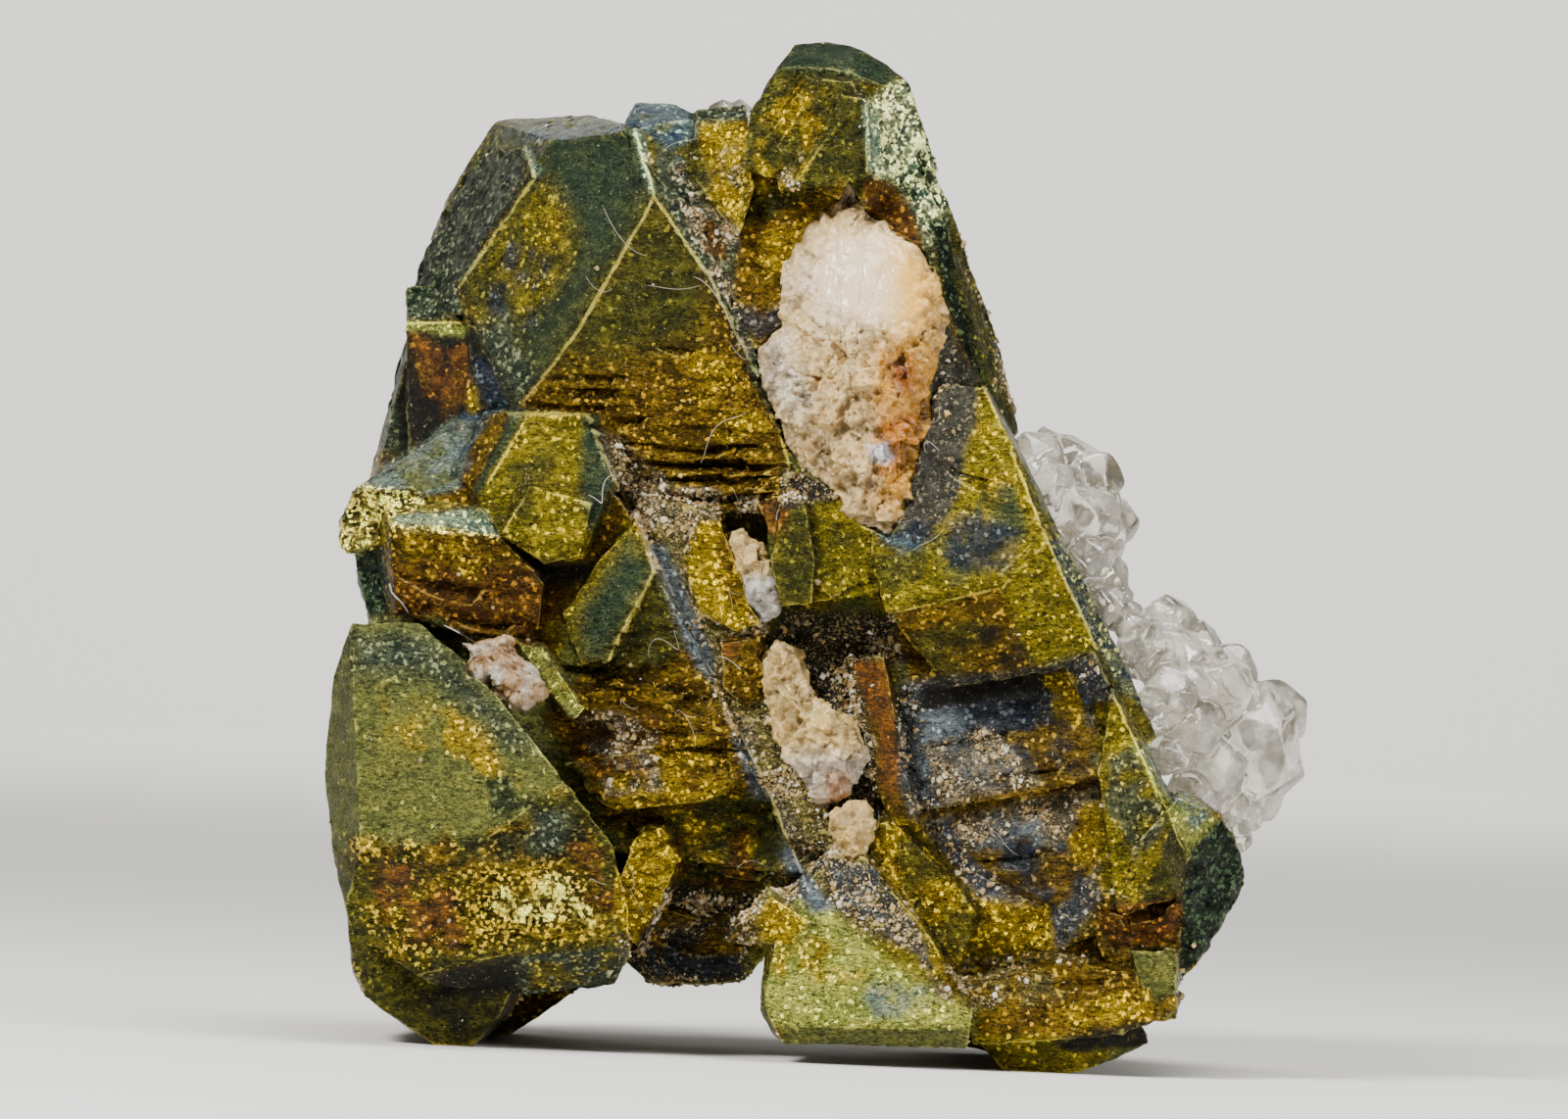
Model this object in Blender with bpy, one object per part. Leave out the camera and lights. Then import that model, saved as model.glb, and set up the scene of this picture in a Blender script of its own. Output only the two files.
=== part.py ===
"""A chalcopyrite specimen: brassy crystals grown together, with quartz and calcite.

The crystals are convex solids. Each has an outline as seen from the front, front faces that
lean, side faces along the outline, and a back. They overlap and are joined in one solid. Steps
and cracks are cut into them. Calcite and quartz are pieces of their own, in hollows or against
the crystals, with a small gap all round.

Corners are (x, z) or (x, z, d) in millimetres: x to the right, z up, d towards the viewer, with
the specimen held as it was measured. It is then turned a little so that it stands on its own feet.
"""

import math

import bmesh
import bpy
import numpy as np
from mathutils import Euler, Matrix, Vector

MM = 0.001
GAP = 0.3
STAND_TURN = math.degrees(math.atan2(1.05, 23.3))
SPREAD = 0.3
UNDERCUT = 0.09
FLAT = 0.25


def through(p, q, r):
    """The plane d = a*x + b*z + c through three corners (x, z, d), as (a, b, c)."""
    rows = np.array([[p[0], p[1], 1.0], [q[0], q[1], 1.0], [r[0], r[1], 1.0]])
    return tuple(np.linalg.solve(rows, np.array([p[2], q[2], r[2]])))


def leaning(p, left, down):
    """The plane through corner p that faces left and down by these slopes, as (a, b, c)."""
    return (left, down, p[2] - left * p[0] - down * p[1])


def depth(planes, x, z):
    """The front of a crystal at (x, z): the lowest of its front planes there."""
    return min(a * x + b * z + c for a, b, c in planes)


# The face planes that several crystals and steps share.
FACE_B = through((-6.6, 35.1, 8.8), (-9.6, 29.9, 7.4), (-1.5, 25.5, 9.7))
FACE_A2 = through((-6.6, 35.1, 8.8), (-9.6, 29.9, 7.4), (-11.8, 36.0, 4.3))
FACE_A1 = through((-11.8, 36.0, 4.3), (-14.6, 31.6, 2.9), (-16.6, 31.2, -1.5))
FACE_C = leaning((-6.6, 35.1, 8.8), -0.6, -0.4)
FACE_D = through((-5.0, 35.4, 7.7), (-2.9, 29.2, 8.9), (4.5, 30.4, 10.3))
FACE_E = through((-5.0, 35.4, 7.9), (-2.9, 29.2, 9.1), (4.5, 30.4, 10.4))
FACE_F = through((2.8, 18.4, 11.4), (7.3, 19.5, 12.1), (8.5, 16.2, 10.3))
FACE_M = leaning((-5.0, 14.0, 9.4), 0.22, 0.09)
FACE_G = leaning((7.0, 13.0, 8.6), 0.08, -0.05)
FACE_I = leaning((2.0, 4.0, 11.6), 0.03, 0.1)
FACE_O = leaning((-14.0, 13.0, 13.4), 0.1, -0.07)

# Each crystal: its outline, its front planes, how far each side flares (+) or is cut under (-)
# as it goes back, in degrees, and how far back it reaches, with the slopes of its back. A side
# that flares does so until it is SPREAD millimetres out, or the second number if it has two.
CRYSTALS = {
    "upper_left": dict(
        outline=[(-13.6, 38.1), (-13.1, 38.6), (-9.3, 38.7), (-7.7, 38.1), (-3.6, 33.5),
                 (-1.0, 24.6), (-1.8, 22.5), (-6.5, 22.4), (-12.4, 26.4), (-14.6, 31.8)],
        front=[FACE_A1, FACE_A2, FACE_B, FACE_C,
               through((-11.9, 37.4, 3.9), (-7.6, 37.8, 7.4), (-10.0, 38.65, 1.0))],
        lean=[-3, -3, -5, 20, 10, -10, -5, -8, -12, -6], back=[(-7.0, 0.15, 0.1)]),
    "upper_left_side": dict(
        outline=[(-13.6, 38.0), (-12.2, 37.5), (-11.0, 33.0), (-13.0, 30.6), (-16.7, 30.8),
                 (-16.3, 32.6), (-15.3, 35.2)],
        front=[leaning((-14.6, 31.6, 2.6), 2.0, -1.1), leaning((-14.0, 33.0, 2.7), 0.6, 0.0)],
        lean=[0, 0, 0, -10, -3, -4, -3], back=[(-7.0, -0.1, 0.2)]),
    "left_block": dict(
        outline=[(-16.8, 30.2), (-14.6, 30.2), (-12.2, 27.5), (-12.0, 24.5), (-16.7, 24.6)],
        front=[leaning((-15.0, 28.0, 2.2), 0.6, 0.02)],
        lean=[(55, 1.5), 20, 0, 0, -3], back=[(-7.5, -0.2, 0.0)]),
    "left_block_rim": dict(
        outline=[(-14.2, 30.1), (-13.2, 29.6), (-12.3, 26.9), (-13.9, 26.6)],
        front=[leaning((-13.5, 28.0, 3.6), 0.6, 0.1)],
        lean=[(30, 1.0), 0, 0, 10], back=[(-4.0, 0.0, 0.0)]),
    "blue_top": dict(
        outline=[(-7.9, 38.1), (-7.4, 39.0), (-6.0, 39.0), (-5.0, 38.5), (-4.2, 37.6),
                 (-4.4, 36.5), (-5.2, 35.0), (-7.2, 35.6)],
        front=[leaning((-6.0, 37.9, 7.4), -0.3, -0.2), leaning((-6.4, 38.1, 7.4), 0.1, -2.4)],
        lean=[-3, -3, -3, 5, 10, 10, 0, 0], back=[(-5.0, 0.1, -0.3)]),
    "gold_wedge": dict(
        outline=[(-4.9, 38.2), (-2.9, 38.3), (-2.6, 35.5), (-3.2, 33.6), (-3.8, 34.2), (-5.2, 36.2)],
        front=[leaning((-3.9, 36.6, 8.3), 0.5, -0.25)],
        lean=[(45, 0.5), 0, 0, 5, 8, 12], back=[(-5.0, 0.0, 0.1)]),
    "upper_right": dict(
        outline=[(-2.8, 38.4), (-1.8, 40.1), (-0.95, 41.25), (0.3, 41.35), (1.2, 41.2), (2.4, 40.6),
                 (3.6, 39.7), (3.95, 38.7), (4.9, 36.0), (5.1, 33.6), (2.0, 34.6), (-3.1, 33.8)],
        front=[leaning((-1.0, 37.0, 10.0), 0.12, -0.08),
               through((1.8, 38.8, 10.2), (1.9, 35.9, 10.4), (4.6, 36.2, 8.4)),
               leaning((0.3, 40.25, 9.8), 0.1, -1.5), leaning((2.9, 39.6, 9.4), -0.7, -0.9)],
        lean=[-3, -4, -8, -8, -8, -6, -3, -3, -2, 0, -25, -25],
        back=[(-7.5, 0.1, 0.25), (-6.5, -0.4, 0.0)]),
    "upper_right_plate": dict(
        outline=[(-0.3, 39.8), (1.3, 39.6), (2.0, 38.4), (2.0, 36.2), (0.9, 35.5), (-1.5, 35.3),
                 (-2.3, 37.2)],
        front=[leaning((-0.2, 37.4, 10.5), 0.3, 0.08)],
        lean=[15, 10, 0, 0, -15, 8, (30, 0.7)], back=[(4.0, 0.0, 0.0)]),
    "upper_right_second_plate": dict(
        outline=[(1.0, 39.1), (1.9, 38.9), (2.1, 36.0), (1.2, 35.5), (-1.2, 35.4)],
        front=[leaning((0.6, 37.2, 11.0), 0.3, 0.08)],
        lean=[15, 0, 0, -15, (30, 0.6)], back=[(4.0, 0.0, 0.0)]),
    "upper_long": dict(
        outline=[(-5.2, 36.2), (-2.0, 38.0), (3.6, 37.2), (5.0, 34.0), (7.6, 25.2), (4.0, 21.0),
                 (0.5, 19.0), (-2.4, 22.6), (-5.6, 31.0)],
        front=[FACE_D, leaning((4.8, 32.0, 10.1), -0.9, 0.0)],
        lean=[0, 0, 0, (26, 0.7), 0, 0, 0, 0, 0], back=[(-9.0, 0.1, -0.05), (-8.0, -0.5, 0.0)]),
    "right_flank": dict(
        outline=[(4.4, 36.6), (5.3, 34.6), (7.0, 30.0), (7.9, 26.6), (6.0, 24.0), (3.0, 28.0)],
        front=[leaning((6.4, 29.0, 7.0), -0.8, 0.1)],
        lean=[-3, -4, -4, 0, 0, 0], back=[(-6.0, -0.35, 0.1)]),
    "long_end": dict(
        outline=[(2.1, 24.0), (5.0, 27.5), (6.6, 27.4), (7.7, 25.2), (9.2, 21.2), (11.1, 16.9),
                 (9.2, 16.1), (3.9, 15.2), (2.7, 18.4), (2.1, 19.2)],
        front=[FACE_E, FACE_F, through((7.3, 19.5, 12.1), (9.1, 21.2, 12.2), (10.9, 17.0, 10.4))],
        lean=[0, 0, 4, (20, 0.5), (30, 0.9), -10, -10, -8, -8, -8], back=[(-8.0, 0.0, 0.1)]),
    "long_foot": dict(
        outline=[(-2.2, 23.0), (0.8, 23.4), (3.0, 21.0), (2.6, 19.0), (0.2, 18.9), (-1.7, 18.6)],
        front=[leaning((0.5, 20.5, 10.6), 0.12, -0.05)],
        lean=[0, 0, 0, -15, -20, -10], back=[(-4.0, 0.0, 0.0)]),
    "long_foot_blade": dict(
        outline=[(-1.4, 23.0), (-0.6, 22.9), (-0.2, 20.6), (-0.3, 18.8), (-1.7, 18.7), (-1.9, 20.6)],
        front=[leaning((-0.9, 21.0, 10.9), 0.3, 0.05)],
        lean=[10, 12, 12, -10, -10, 5], back=[(2.0, 0.0, 0.0)]),
    "blue_edge": dict(
        outline=[(9.3, 21.6), (10.1, 20.6), (12.0, 17.0), (13.6, 13.4), (12.0, 12.0), (10.0, 16.0),
                 (8.4, 20.0)],
        front=[leaning((10.4, 19.0, 9.9), -0.85, 0.0)],
        lean=[0, -3, -3, 0, 0, 0, 0], back=[(-7.0, -0.3, 0.1)]),
    "right_lower": dict(
        outline=[(10.6, 16.6), (11.6, 15.8), (13.4, 12.0), (14.9, 8.8), (14.5, 6.9), (12.2, 6.3),
                 (10.4, 7.5), (11.2, 12.0)],
        front=[leaning((12.4, 11.0, 10.1), 0.12, 0.02),
               through((14.2, 9.9, 10.2), (12.9, 6.9, 9.9), (14.6, 7.0, 8.9)),
               through((11.6, 15.8, 9.9), (14.2, 9.9, 10.2), (15.9, 10.4, 7.4))],
        lean=[0, 8, (30, 1.4), (20, 0.8), -5, -8, 0, 0], back=[(-6.0, 0.0, 0.0)]),
    "right_dark_side": dict(
        outline=[(14.4, 11.0), (16.2, 10.3), (17.0, 8.9), (17.3, 7.6), (17.0, 6.4), (15.5, 4.6),
                 (14.4, 3.0), (12.5, 5.0), (12.5, 9.0)],
        front=[leaning((15.0, 8.0, 8.9), -1.1, 0.2), leaning((15.0, 7.0, 9.2), -0.3, 0.5)],
        lean=[5, -8, -5, -10, -12, -8, 0, 0, 0], back=[(-5.0, -0.2, 0.1)]),
    "right_pocket_floor": dict(
        outline=[(11.0, 7.2), (14.6, 7.2), (14.5, 4.6), (14.35, 2.9), (12.4, 3.0), (11.2, 5.0)],
        front=[leaning((13.0, 5.5, 8.9), -0.1, 0.15)],
        lean=[0, 5, 0, -10, 0, 0], back=[(-4.0, 0.0, 0.0)]),
    "right_foot_facet": dict(
        outline=[(12.5, 4.9), (14.4, 4.9), (14.3, 3.2), (13.1, 3.0)],
        front=[leaning((13.5, 4.0, 9.9), -0.2, 0.25)],
        lean=[-10, 8, -15, 5], back=[(0.0, 0.0, 0.0)]),
    "grey_hollow_upper": dict(
        outline=[(2.6, 16.5), (11.4, 17.0), (12.2, 13.0), (11.8, 11.6), (8.3, 11.1), (3.9, 10.2),
                 (3.1, 12.4)],
        front=[FACE_G],
        lean=[0, 0, 0, -5, -5, -5, 5], back=[(-5.0, 0.0, 0.0)]),
    "grey_hollow_lower": dict(
        outline=[(3.6, 11.4), (12.0, 12.4), (12.4, 6.0), (9.0, 4.6), (4.6, 7.2)],
        front=[leaning((8.0, 9.0, 8.2), 0.12, -0.12)],
        lean=[0, 0, 0, 0, 0], back=[(-5.0, 0.0, 0.0)]),
    "rust_blade": dict(
        outline=[(1.2, 16.6), (2.6, 16.6), (3.3, 13.0), (3.9, 10.0), (3.0, 9.9), (2.2, 11.6)],
        front=[leaning((2.4, 13.5, 9.6), 0.5, 0.05)],
        lean=[0, 8, 6, 0, 5, 8], back=[(-3.0, 0.0, 0.0)]),
    "middle_hollow": dict(
        outline=[(-13.0, 25.5), (6.0, 25.5), (6.0, 15.5), (3.8, 8.4), (0.2, 7.8), (-8.4, 8.8),
                 (-14.6, 16.4)],
        front=[leaning((0.5, 14.0, 8.0), 0.04, -0.05)],
        lean=[0] * 7, back=[(-5.0, 0.0, 0.0)]),
    "middle_strip": dict(
        outline=[(-7.4, 23.2), (-4.2, 23.0), (-2.6, 18.6), (-0.4, 12.4), (1.2, 8.6), (-1.4, 9.2),
                 (-3.7, 14.2), (-6.8, 20.6)],
        front=[leaning((-3.0, 15.0, 8.9), 0.16, 0.03)],
        lean=[0, 0, 8, 6, 0, 0, 0, 0], back=[(-5.0, 0.0, 0.0)]),
    "middle_strip_gold": dict(
        outline=[(-4.7, 22.4), (-4.1, 22.3), (-2.4, 18.0), (-3.3, 17.7), (-4.8, 18.4), (-5.5, 20.4)],
        front=[leaning((-4.0, 20.0, 9.5), 0.2, 0.02)],
        lean=[8, 10, 5, 0, 5, 5], back=[(2.0, 0.0, 0.0)]),
    "middle_strip_knob": dict(
        outline=[(-3.9, 17.2), (-2.4, 17.4), (-2.0, 15.6), (-2.8, 14.7), (-3.8, 15.4)],
        front=[leaning((-3.0, 16.2, 9.5), 0.1, 0.15)],
        lean=[15, 10, 5, -10, 5], back=[(2.0, 0.0, 0.0)]),
    "brown_face": dict(
        outline=[(-9.0, 23.6), (-7.3, 22.6), (-5.2, 17.8), (-3.4, 14.1), (-1.9, 11.2), (-4.1, 10.9),
                 (-6.1, 9.3), (-9.6, 9.5), (-12.6, 14.0), (-12.0, 19.0)],
        front=[FACE_M],
        lean=[0, 3, 3, 3, -12, -22, -15, 0, 0, 0], back=[(-6.0, 0.0, 0.0)]),
    "brown_ledge": dict(
        outline=[(-10.8, 14.7), (-8.0, 15.6), (-5.0, 15.0), (-4.6, 12.9), (-6.9, 13.6), (-9.8, 13.6)],
        front=[leaning((-7.5, 14.5, 9.5), 0.12, 0.5)],
        lean=[20, 15, 10, -10, -15, 0], back=[(3.0, 0.0, 0.0)]),
    "brown_shelf": dict(
        outline=[(-10.2, 12.4), (-7.4, 12.8), (-2.4, 12.0), (-2.0, 11.2), (-4.4, 10.9), (-6.2, 9.6),
                 (-8.8, 10.8)],
        front=[leaning((-6.0, 11.6, 9.8), 0.12, 0.1)],
        lean=[25, 25, 5, -12, -20, -12, 0], back=[(2.0, 0.0, 0.0)]),
    "narrow_crystal": dict(
        outline=[(-7.5, 22.4), (-6.5, 20.1), (-8.4, 16.5), (-9.5, 16.3), (-10.4, 18.8), (-8.8, 20.5)],
        front=[leaning((-8.5, 19.0, 10.2), 0.3, 0.03), leaning((-6.5, 20.1, 10.3), -0.2, 0.05)],
        lean=[5, (28, 1.2), -10, 5, 8, 4], back=[(0.0, 0.0, 0.0)]),
    "olive_wedge": dict(
        outline=[(-6.7, 20.2), (-5.4, 17.9), (-4.9, 16.6), (-6.6, 16.2), (-8.3, 16.3)],
        front=[leaning((-6.6, 17.6, 9.7), 0.15, 0.16)],
        lean=[4, 4, -10, -14, 0], back=[(0.0, 0.0, 0.0)]),
    "middle_left": dict(
        outline=[(-12.1, 26.3), (-9.3, 26.3), (-8.3, 23.6), (-9.5, 20.6), (-11.0, 20.4), (-12.8, 21.6),
                 (-13.8, 23.2)],
        front=[leaning((-10.5, 24.0, 10.2), 0.16, -0.04)],
        lean=[20, (34, 0.9), 10, -20, -28, 10, (38, 1.3)], back=[(-5.0, 0.0, 0.0)]),
    "middle_left_step": dict(
        outline=[(-11.6, 23.5), (-9.1, 22.8), (-9.6, 20.7), (-11.0, 20.4), (-12.7, 21.6)],
        front=[leaning((-10.6, 22.0, 10.8), 0.12, 0.03)],
        lean=[28, 22, -18, -25, 20], back=[(2.0, 0.0, 0.0)]),
    "left_shoulder": dict(
        outline=[(-18.7, 23.4), (-15.6, 25.4), (-14.0, 26.2), (-12.0, 26.7), (-11.0, 23.0),
                 (-13.0, 21.4), (-18.9, 22.6)],
        front=[leaning((-16.0, 23.4, 8.0), 0.45, -1.25), leaning((-15.0, 23.0, 8.3), 0.4, 0.1)],
        lean=[0, 3, 0, 0, 0, 0, 0], back=[(-6.0, -0.1, 0.1)]),
    "left_front_block": dict(
        outline=[(-17.2, 21.9), (-12.8, 21.5), (-11.0, 19.6), (-11.4, 17.4), (-14.4, 17.6),
                 (-17.0, 18.4)],
        front=[leaning((-15.0, 21.5, 9.7), 0.25, 0.3)],
        lean=[(50, 1.2), 10, 0, 0, 0, (14, 0.8)], back=[(-5.0, 0.0, 0.0)]),
    "left_corner": dict(
        outline=[(-19.2, 22.3), (-18.9, 22.9), (-17.0, 23.2), (-16.0, 20.0), (-16.4, 17.2),
                 (-18.3, 17.4), (-18.6, 19.6), (-19.1, 21.2)],
        front=[leaning((-18.0, 20.0, 6.0), 0.9, -0.1)],
        lean=[0, 0, 0, 0, 0, 0, 0, 0], back=[(-5.0, -0.1, 0.0)]),
    "left_corner_knob": dict(
        outline=[(-19.3, 21.9), (-18.8, 22.6), (-17.9, 22.2), (-17.6, 21.2), (-18.4, 20.7),
                 (-19.2, 20.9)],
        front=[leaning((-18.5, 21.6, 7.0), 0.35, -0.1)],
        lean=[20, 25, 20, 5, -10, 0], back=[(0.0, 0.0, 0.0)]),
    "green_blades": dict(
        outline=[(-12.0, 17.2), (-11.1, 17.0), (-9.4, 14.6), (-9.8, 14.2), (-11.4, 15.7)],
        front=[leaning((-10.6, 15.8, 11.1), 0.5, -0.4)],
        lean=[15, 25, -5, 5, 10], back=[(3.0, 0.0, 0.0)]),
    "shadow_floor": dict(
        outline=[(-8.5, 11.0), (-1.0, 12.0), (0.6, 8.0), (-3.0, 3.6), (-5.0, 3.4), (-6.9, 3.6),
                 (-8.6, 5.0)],
        front=[leaning((-4.5, 7.0, 6.4), 0.05, 0.12)],
        lean=[0, 0, 0, 0, 0, 0, 0], back=[(-6.0, 0.0, 0.3)]),
    "shadow_lump": dict(
        outline=[(-4.0, 10.3), (-1.9, 10.4), (-1.5, 8.6), (-2.4, 7.6), (-4.6, 8.0)],
        front=[leaning((-3.0, 9.2, 8.0), 0.1, 0.1)],
        lean=[20, 15, 15, 0, 15], back=[(2.0, 0.0, 0.0)]),
    "small_gold": dict(
        outline=[(-7.3, 9.6), (-6.3, 9.9), (-5.6, 8.5), (-6.6, 6.4), (-7.4, 5.2), (-8.4, 6.5)],
        front=[leaning((-6.8, 8.0, 10.0), -0.15, 0.05)],
        lean=[10, 15, 12, 8, 0, 0], back=[(0.0, 0.0, 0.0)]),
    "bottom_middle": dict(
        outline=[(-1.3, 9.6), (1.9, 8.6), (4.5, 5.4), (6.1, 2.6), (6.0, 1.75), (-1.2, 1.95),
                 (-1.95, 2.3), (-3.4, 4.9), (-1.6, 6.6)],
        front=[FACE_I, leaning((0.0, 7.2, 11.4), 0.22, -0.32)],
        lean=[10, 6, 6, 0, (50, 0.75), (50, 0.75), 8, 10, 12], back=[(-4.0, 0.0, 0.5)]),
    "bottom_gold_wedge": dict(
        outline=[(-3.6, 5.3), (-1.9, 7.1), (-0.4, 6.1), (-1.2, 5.1)],
        front=[leaning((-1.9, 5.9, 11.7), 0.35, 0.35)],
        lean=[18, 15, 15, 0], back=[(4.0, 0.0, 0.0)]),
    "lower_gold": dict(
        outline=[(1.8, 9.9), (3.6, 10.1), (5.4, 7.6), (6.4, 6.6), (5.6, 4.0), (4.6, 4.6), (2.2, 8.2)],
        front=[leaning((4.0, 8.0, 9.9), 0.25, 0.1)],
        lean=[15, 20, 18, 5, 5, 0, 5], back=[(0.0, 0.0, 0.0)]),
    "lower_gold_middle": dict(
        outline=[(4.3, 7.8), (6.3, 7.9), (9.4, 6.6), (11.6, 5.4), (11.4, 3.8), (5.4, 3.6)],
        front=[leaning((6.8, 6.2, 9.4), 0.1, 0.35), leaning((6.5, 7.0, 9.5), 0.0, -0.5),
               leaning((9.6, 6.0, 9.0), -0.35, 0.1)],
        lean=[10, 15, 15, 0, 0, 0], back=[(0.0, 0.0, 0.0)]),
    "lower_right_front": dict(
        outline=[(5.2, 4.6), (8.0, 5.0), (10.4, 4.4), (12.3, 4.8), (14.4, 2.9), (14.3, 2.2),
                 (9.6, 1.3), (6.2, 1.1), (5.6, 2.6)],
        front=[leaning((9.0, 3.0, 10.1), 0.05, 0.1), leaning((12.5, 3.0, 10.0), -0.35, 0.0)],
        lean=[25, 20, 15, 10, 5, -25, -12, -5, 0], back=[(-4.0, 0.0, 0.3)]),
    "right_foot": dict(
        outline=[(6.1, 1.6), (8.0, 2.4), (12.8, 2.2), (13.3, 1.0), (11.9, 0.5), (10.6, 0.0),
                 (8.6, -0.25), (7.6, -0.2), (6.9, 0.6)],
        front=[leaning((9.0, 1.0, 9.1), 0.1, 0.6), leaning((12.0, 1.0, 8.9), -0.5, 0.3)],
        lean=[0, 0, 0, 0, -5, -5, 0, 0, 0], back=[(-4.5, 0.0, 0.0)]),
    "front_crystal": dict(
        outline=[(-18.6, 18.0), (-15.1, 18.0), (-13.6, 16.1), (-11.0, 14.0), (-9.2, 11.6),
                 (-8.2, 9.0), (-7.6, 6.6), (-7.6, 4.7), (-8.2, 3.5), (-12.0, 3.1), (-15.2, 3.5),
                 (-18.6, 5.6), (-19.4, 8.6), (-19.8, 12.0), (-19.4, 16.0)],
        front=[FACE_O,
               through((-18.7, 9.0, 13.2), (-12.8, 9.6, 13.8), (-14.0, 4.4, 11.6)),
               through((-12.4, 10.0, 13.75), (-9.4, 12.2, 13.9), (-8.4, 6.5, 11.8)),
               through((-15.1, 4.3, 11.6), (-7.6, 5.5, 12.0), (-10.0, 3.4, 9.4)),
               leaning((-18.9, 12.0, 12.2), 1.6, 0.0)],
        lean=[-8, -4, -5, -5, -4, -4, -4, -4, -4, -6, -4, -3, -3, -3, -3], back=[(-5.0, -0.1, 0.1)]),
    "front_crystal_foot": dict(
        outline=[(-19.0, 7.0), (-15.0, 7.2), (-12.0, 4.6), (-12.0, 3.1), (-12.9, 2.1), (-13.3, 1.3),
                 (-14.0, 0.9), (-15.5, 0.95), (-17.0, 2.1), (-18.1, 2.8), (-18.8, 4.2)],
        front=[leaning((-15.5, 3.0, 9.4), 0.1, 0.45), leaning((-15.5, 3.0, 9.3), 0.25, -0.1)],
        lean=[0, 0, 5, 5, 5, -4, -4, 0, 3, 3, 0], back=[(-7.0, 0.0, 0.0)]),
    "core": dict(
        outline=[(-12.8, 36.4), (-4.5, 37.4), (3.0, 38.0), (5.0, 33.0), (8.0, 23.0), (12.4, 11.0),
                 (13.4, 5.2), (10.0, 2.2), (3.0, 2.4), (-3.4, 4.4), (-8.0, 4.2), (-15.0, 3.8),
                 (-17.8, 9.0), (-17.6, 18.0), (-17.0, 23.0), (-15.6, 31.0)],
        front=[leaning((0.0, 20.0, 3.6), 0.17, 0.0)],
        lean=[0] * 16, back=[(-6.5, 0.0, 0.0)]),
}

# The crystals of the back, seen from behind as (x, z) with the same x, their d towards the back.
BACK_CRYSTALS = {
    "back_upper": dict(
        outline=[(-12.4, 35.8), (-8.0, 38.0), (-3.0, 37.6), (0.6, 33.0), (-1.5, 24.0), (-6.0, 21.5),
                 (-13.6, 27.0)],
        front=[leaning((-6.5, 31.0, 10.4), 0.28, -0.12), leaning((-6.5, 31.0, 10.4), -0.5, -0.2),
               leaning((-6.0, 27.0, 10.2), -0.05, 0.55)],
        lean=[8, 6, 10, 8, 5, 12, 8], back=[(0.0, 0.0, 0.0)]),
    "back_right": dict(
        outline=[(-0.6, 37.8), (2.6, 38.4), (4.6, 34.0), (7.6, 25.0), (9.0, 19.0), (4.0, 15.5),
                 (-1.0, 20.0), (-2.8, 29.0)],
        front=[leaning((2.5, 28.0, 12.0), 0.42, -0.06), leaning((3.0, 28.0, 12.2), -0.42, -0.1),
               leaning((3.5, 21.0, 12.2), 0.0, 0.6)],
        lean=[5, 4, 5, 6, 12, 10, 10, 8], back=[(0.0, 0.0, 0.0)]),
    "back_middle": dict(
        outline=[(-8.0, 24.5), (-1.0, 25.0), (3.4, 17.0), (2.0, 9.0), (-5.0, 7.0), (-9.5, 13.0)],
        front=[leaning((-3.0, 17.0, 12.6), 0.3, 0.08), leaning((-2.0, 17.0, 12.8), -0.35, -0.12)],
        lean=[15, 10, 12, 15, 8, 10], back=[(0.0, 0.0, 0.0)]),
    "back_left": dict(
        outline=[(-16.6, 29.6), (-12.0, 31.0), (-7.8, 26.0), (-8.6, 18.0), (-14.0, 15.0),
                 (-18.2, 19.0), (-18.3, 23.0)],
        front=[leaning((-13.0, 23.0, 9.6), 0.35, -0.1), leaning((-12.0, 23.0, 9.8), -0.3, 0.25)],
        lean=[6, 10, 12, 10, 8, 2, 4], back=[(0.0, 0.0, 0.0)]),
    "back_lower_left": dict(
        outline=[(-18.0, 17.0), (-10.0, 18.4), (-6.4, 12.0), (-7.6, 4.6), (-12.8, 1.0), (-15.2, 0.8),
                 (-17.8, 3.8), (-19.0, 10.0)],
        front=[leaning((-13.0, 9.0, 11.0), 0.36, 0.1), leaning((-12.6, 9.0, 11.2), -0.3, -0.15),
               leaning((-13.0, 5.0, 10.6), 0.0, 0.7)],
        lean=[8, 10, 8, 0, -1, -1, 2, 2], back=[(0.0, 0.0, 0.0)]),
    "back_lower_right": dict(
        outline=[(3.0, 16.4), (9.6, 16.8), (14.0, 10.6), (15.0, 5.6), (12.6, 1.8), (9.0, -0.2),
                 (4.4, 0.9), (1.0, 4.0), (0.0, 10.0)],
        front=[leaning((7.5, 9.0, 11.2), 0.3, 0.05), leaning((8.0, 9.0, 11.4), -0.5, -0.05),
               leaning((8.0, 4.0, 10.8), 0.0, 0.5)],
        lean=[10, 5, 2, 2, -1, -1, -1, 5, 8], back=[(0.0, 0.0, 0.0)]),
    "back_top_wedge": dict(
        outline=[(-3.6, 37.9), (-0.6, 39.4), (2.0, 39.6), (3.6, 37.0), (1.0, 32.0), (-3.2, 33.0)],
        front=[leaning((0.2, 36.6, 8.6), -0.1, -0.35), leaning((0.4, 36.0, 8.8), 0.3, 0.25)],
        lean=[5, 10, 10, 8, 5, 5], back=[(0.0, 0.0, 0.0)]),
    "tip_seat": dict(
        outline=[(-5.6, 38.15), (-2.7, 38.15), (-2.6, 34.0), (-5.8, 34.0)],
        front=[leaning((-4.0, 36.5, 7.4), 0.1, -0.3)],
        lean=[-4, 0, 5, 5], back=[(-4.0, 0.0, 0.0)]),
}

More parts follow.
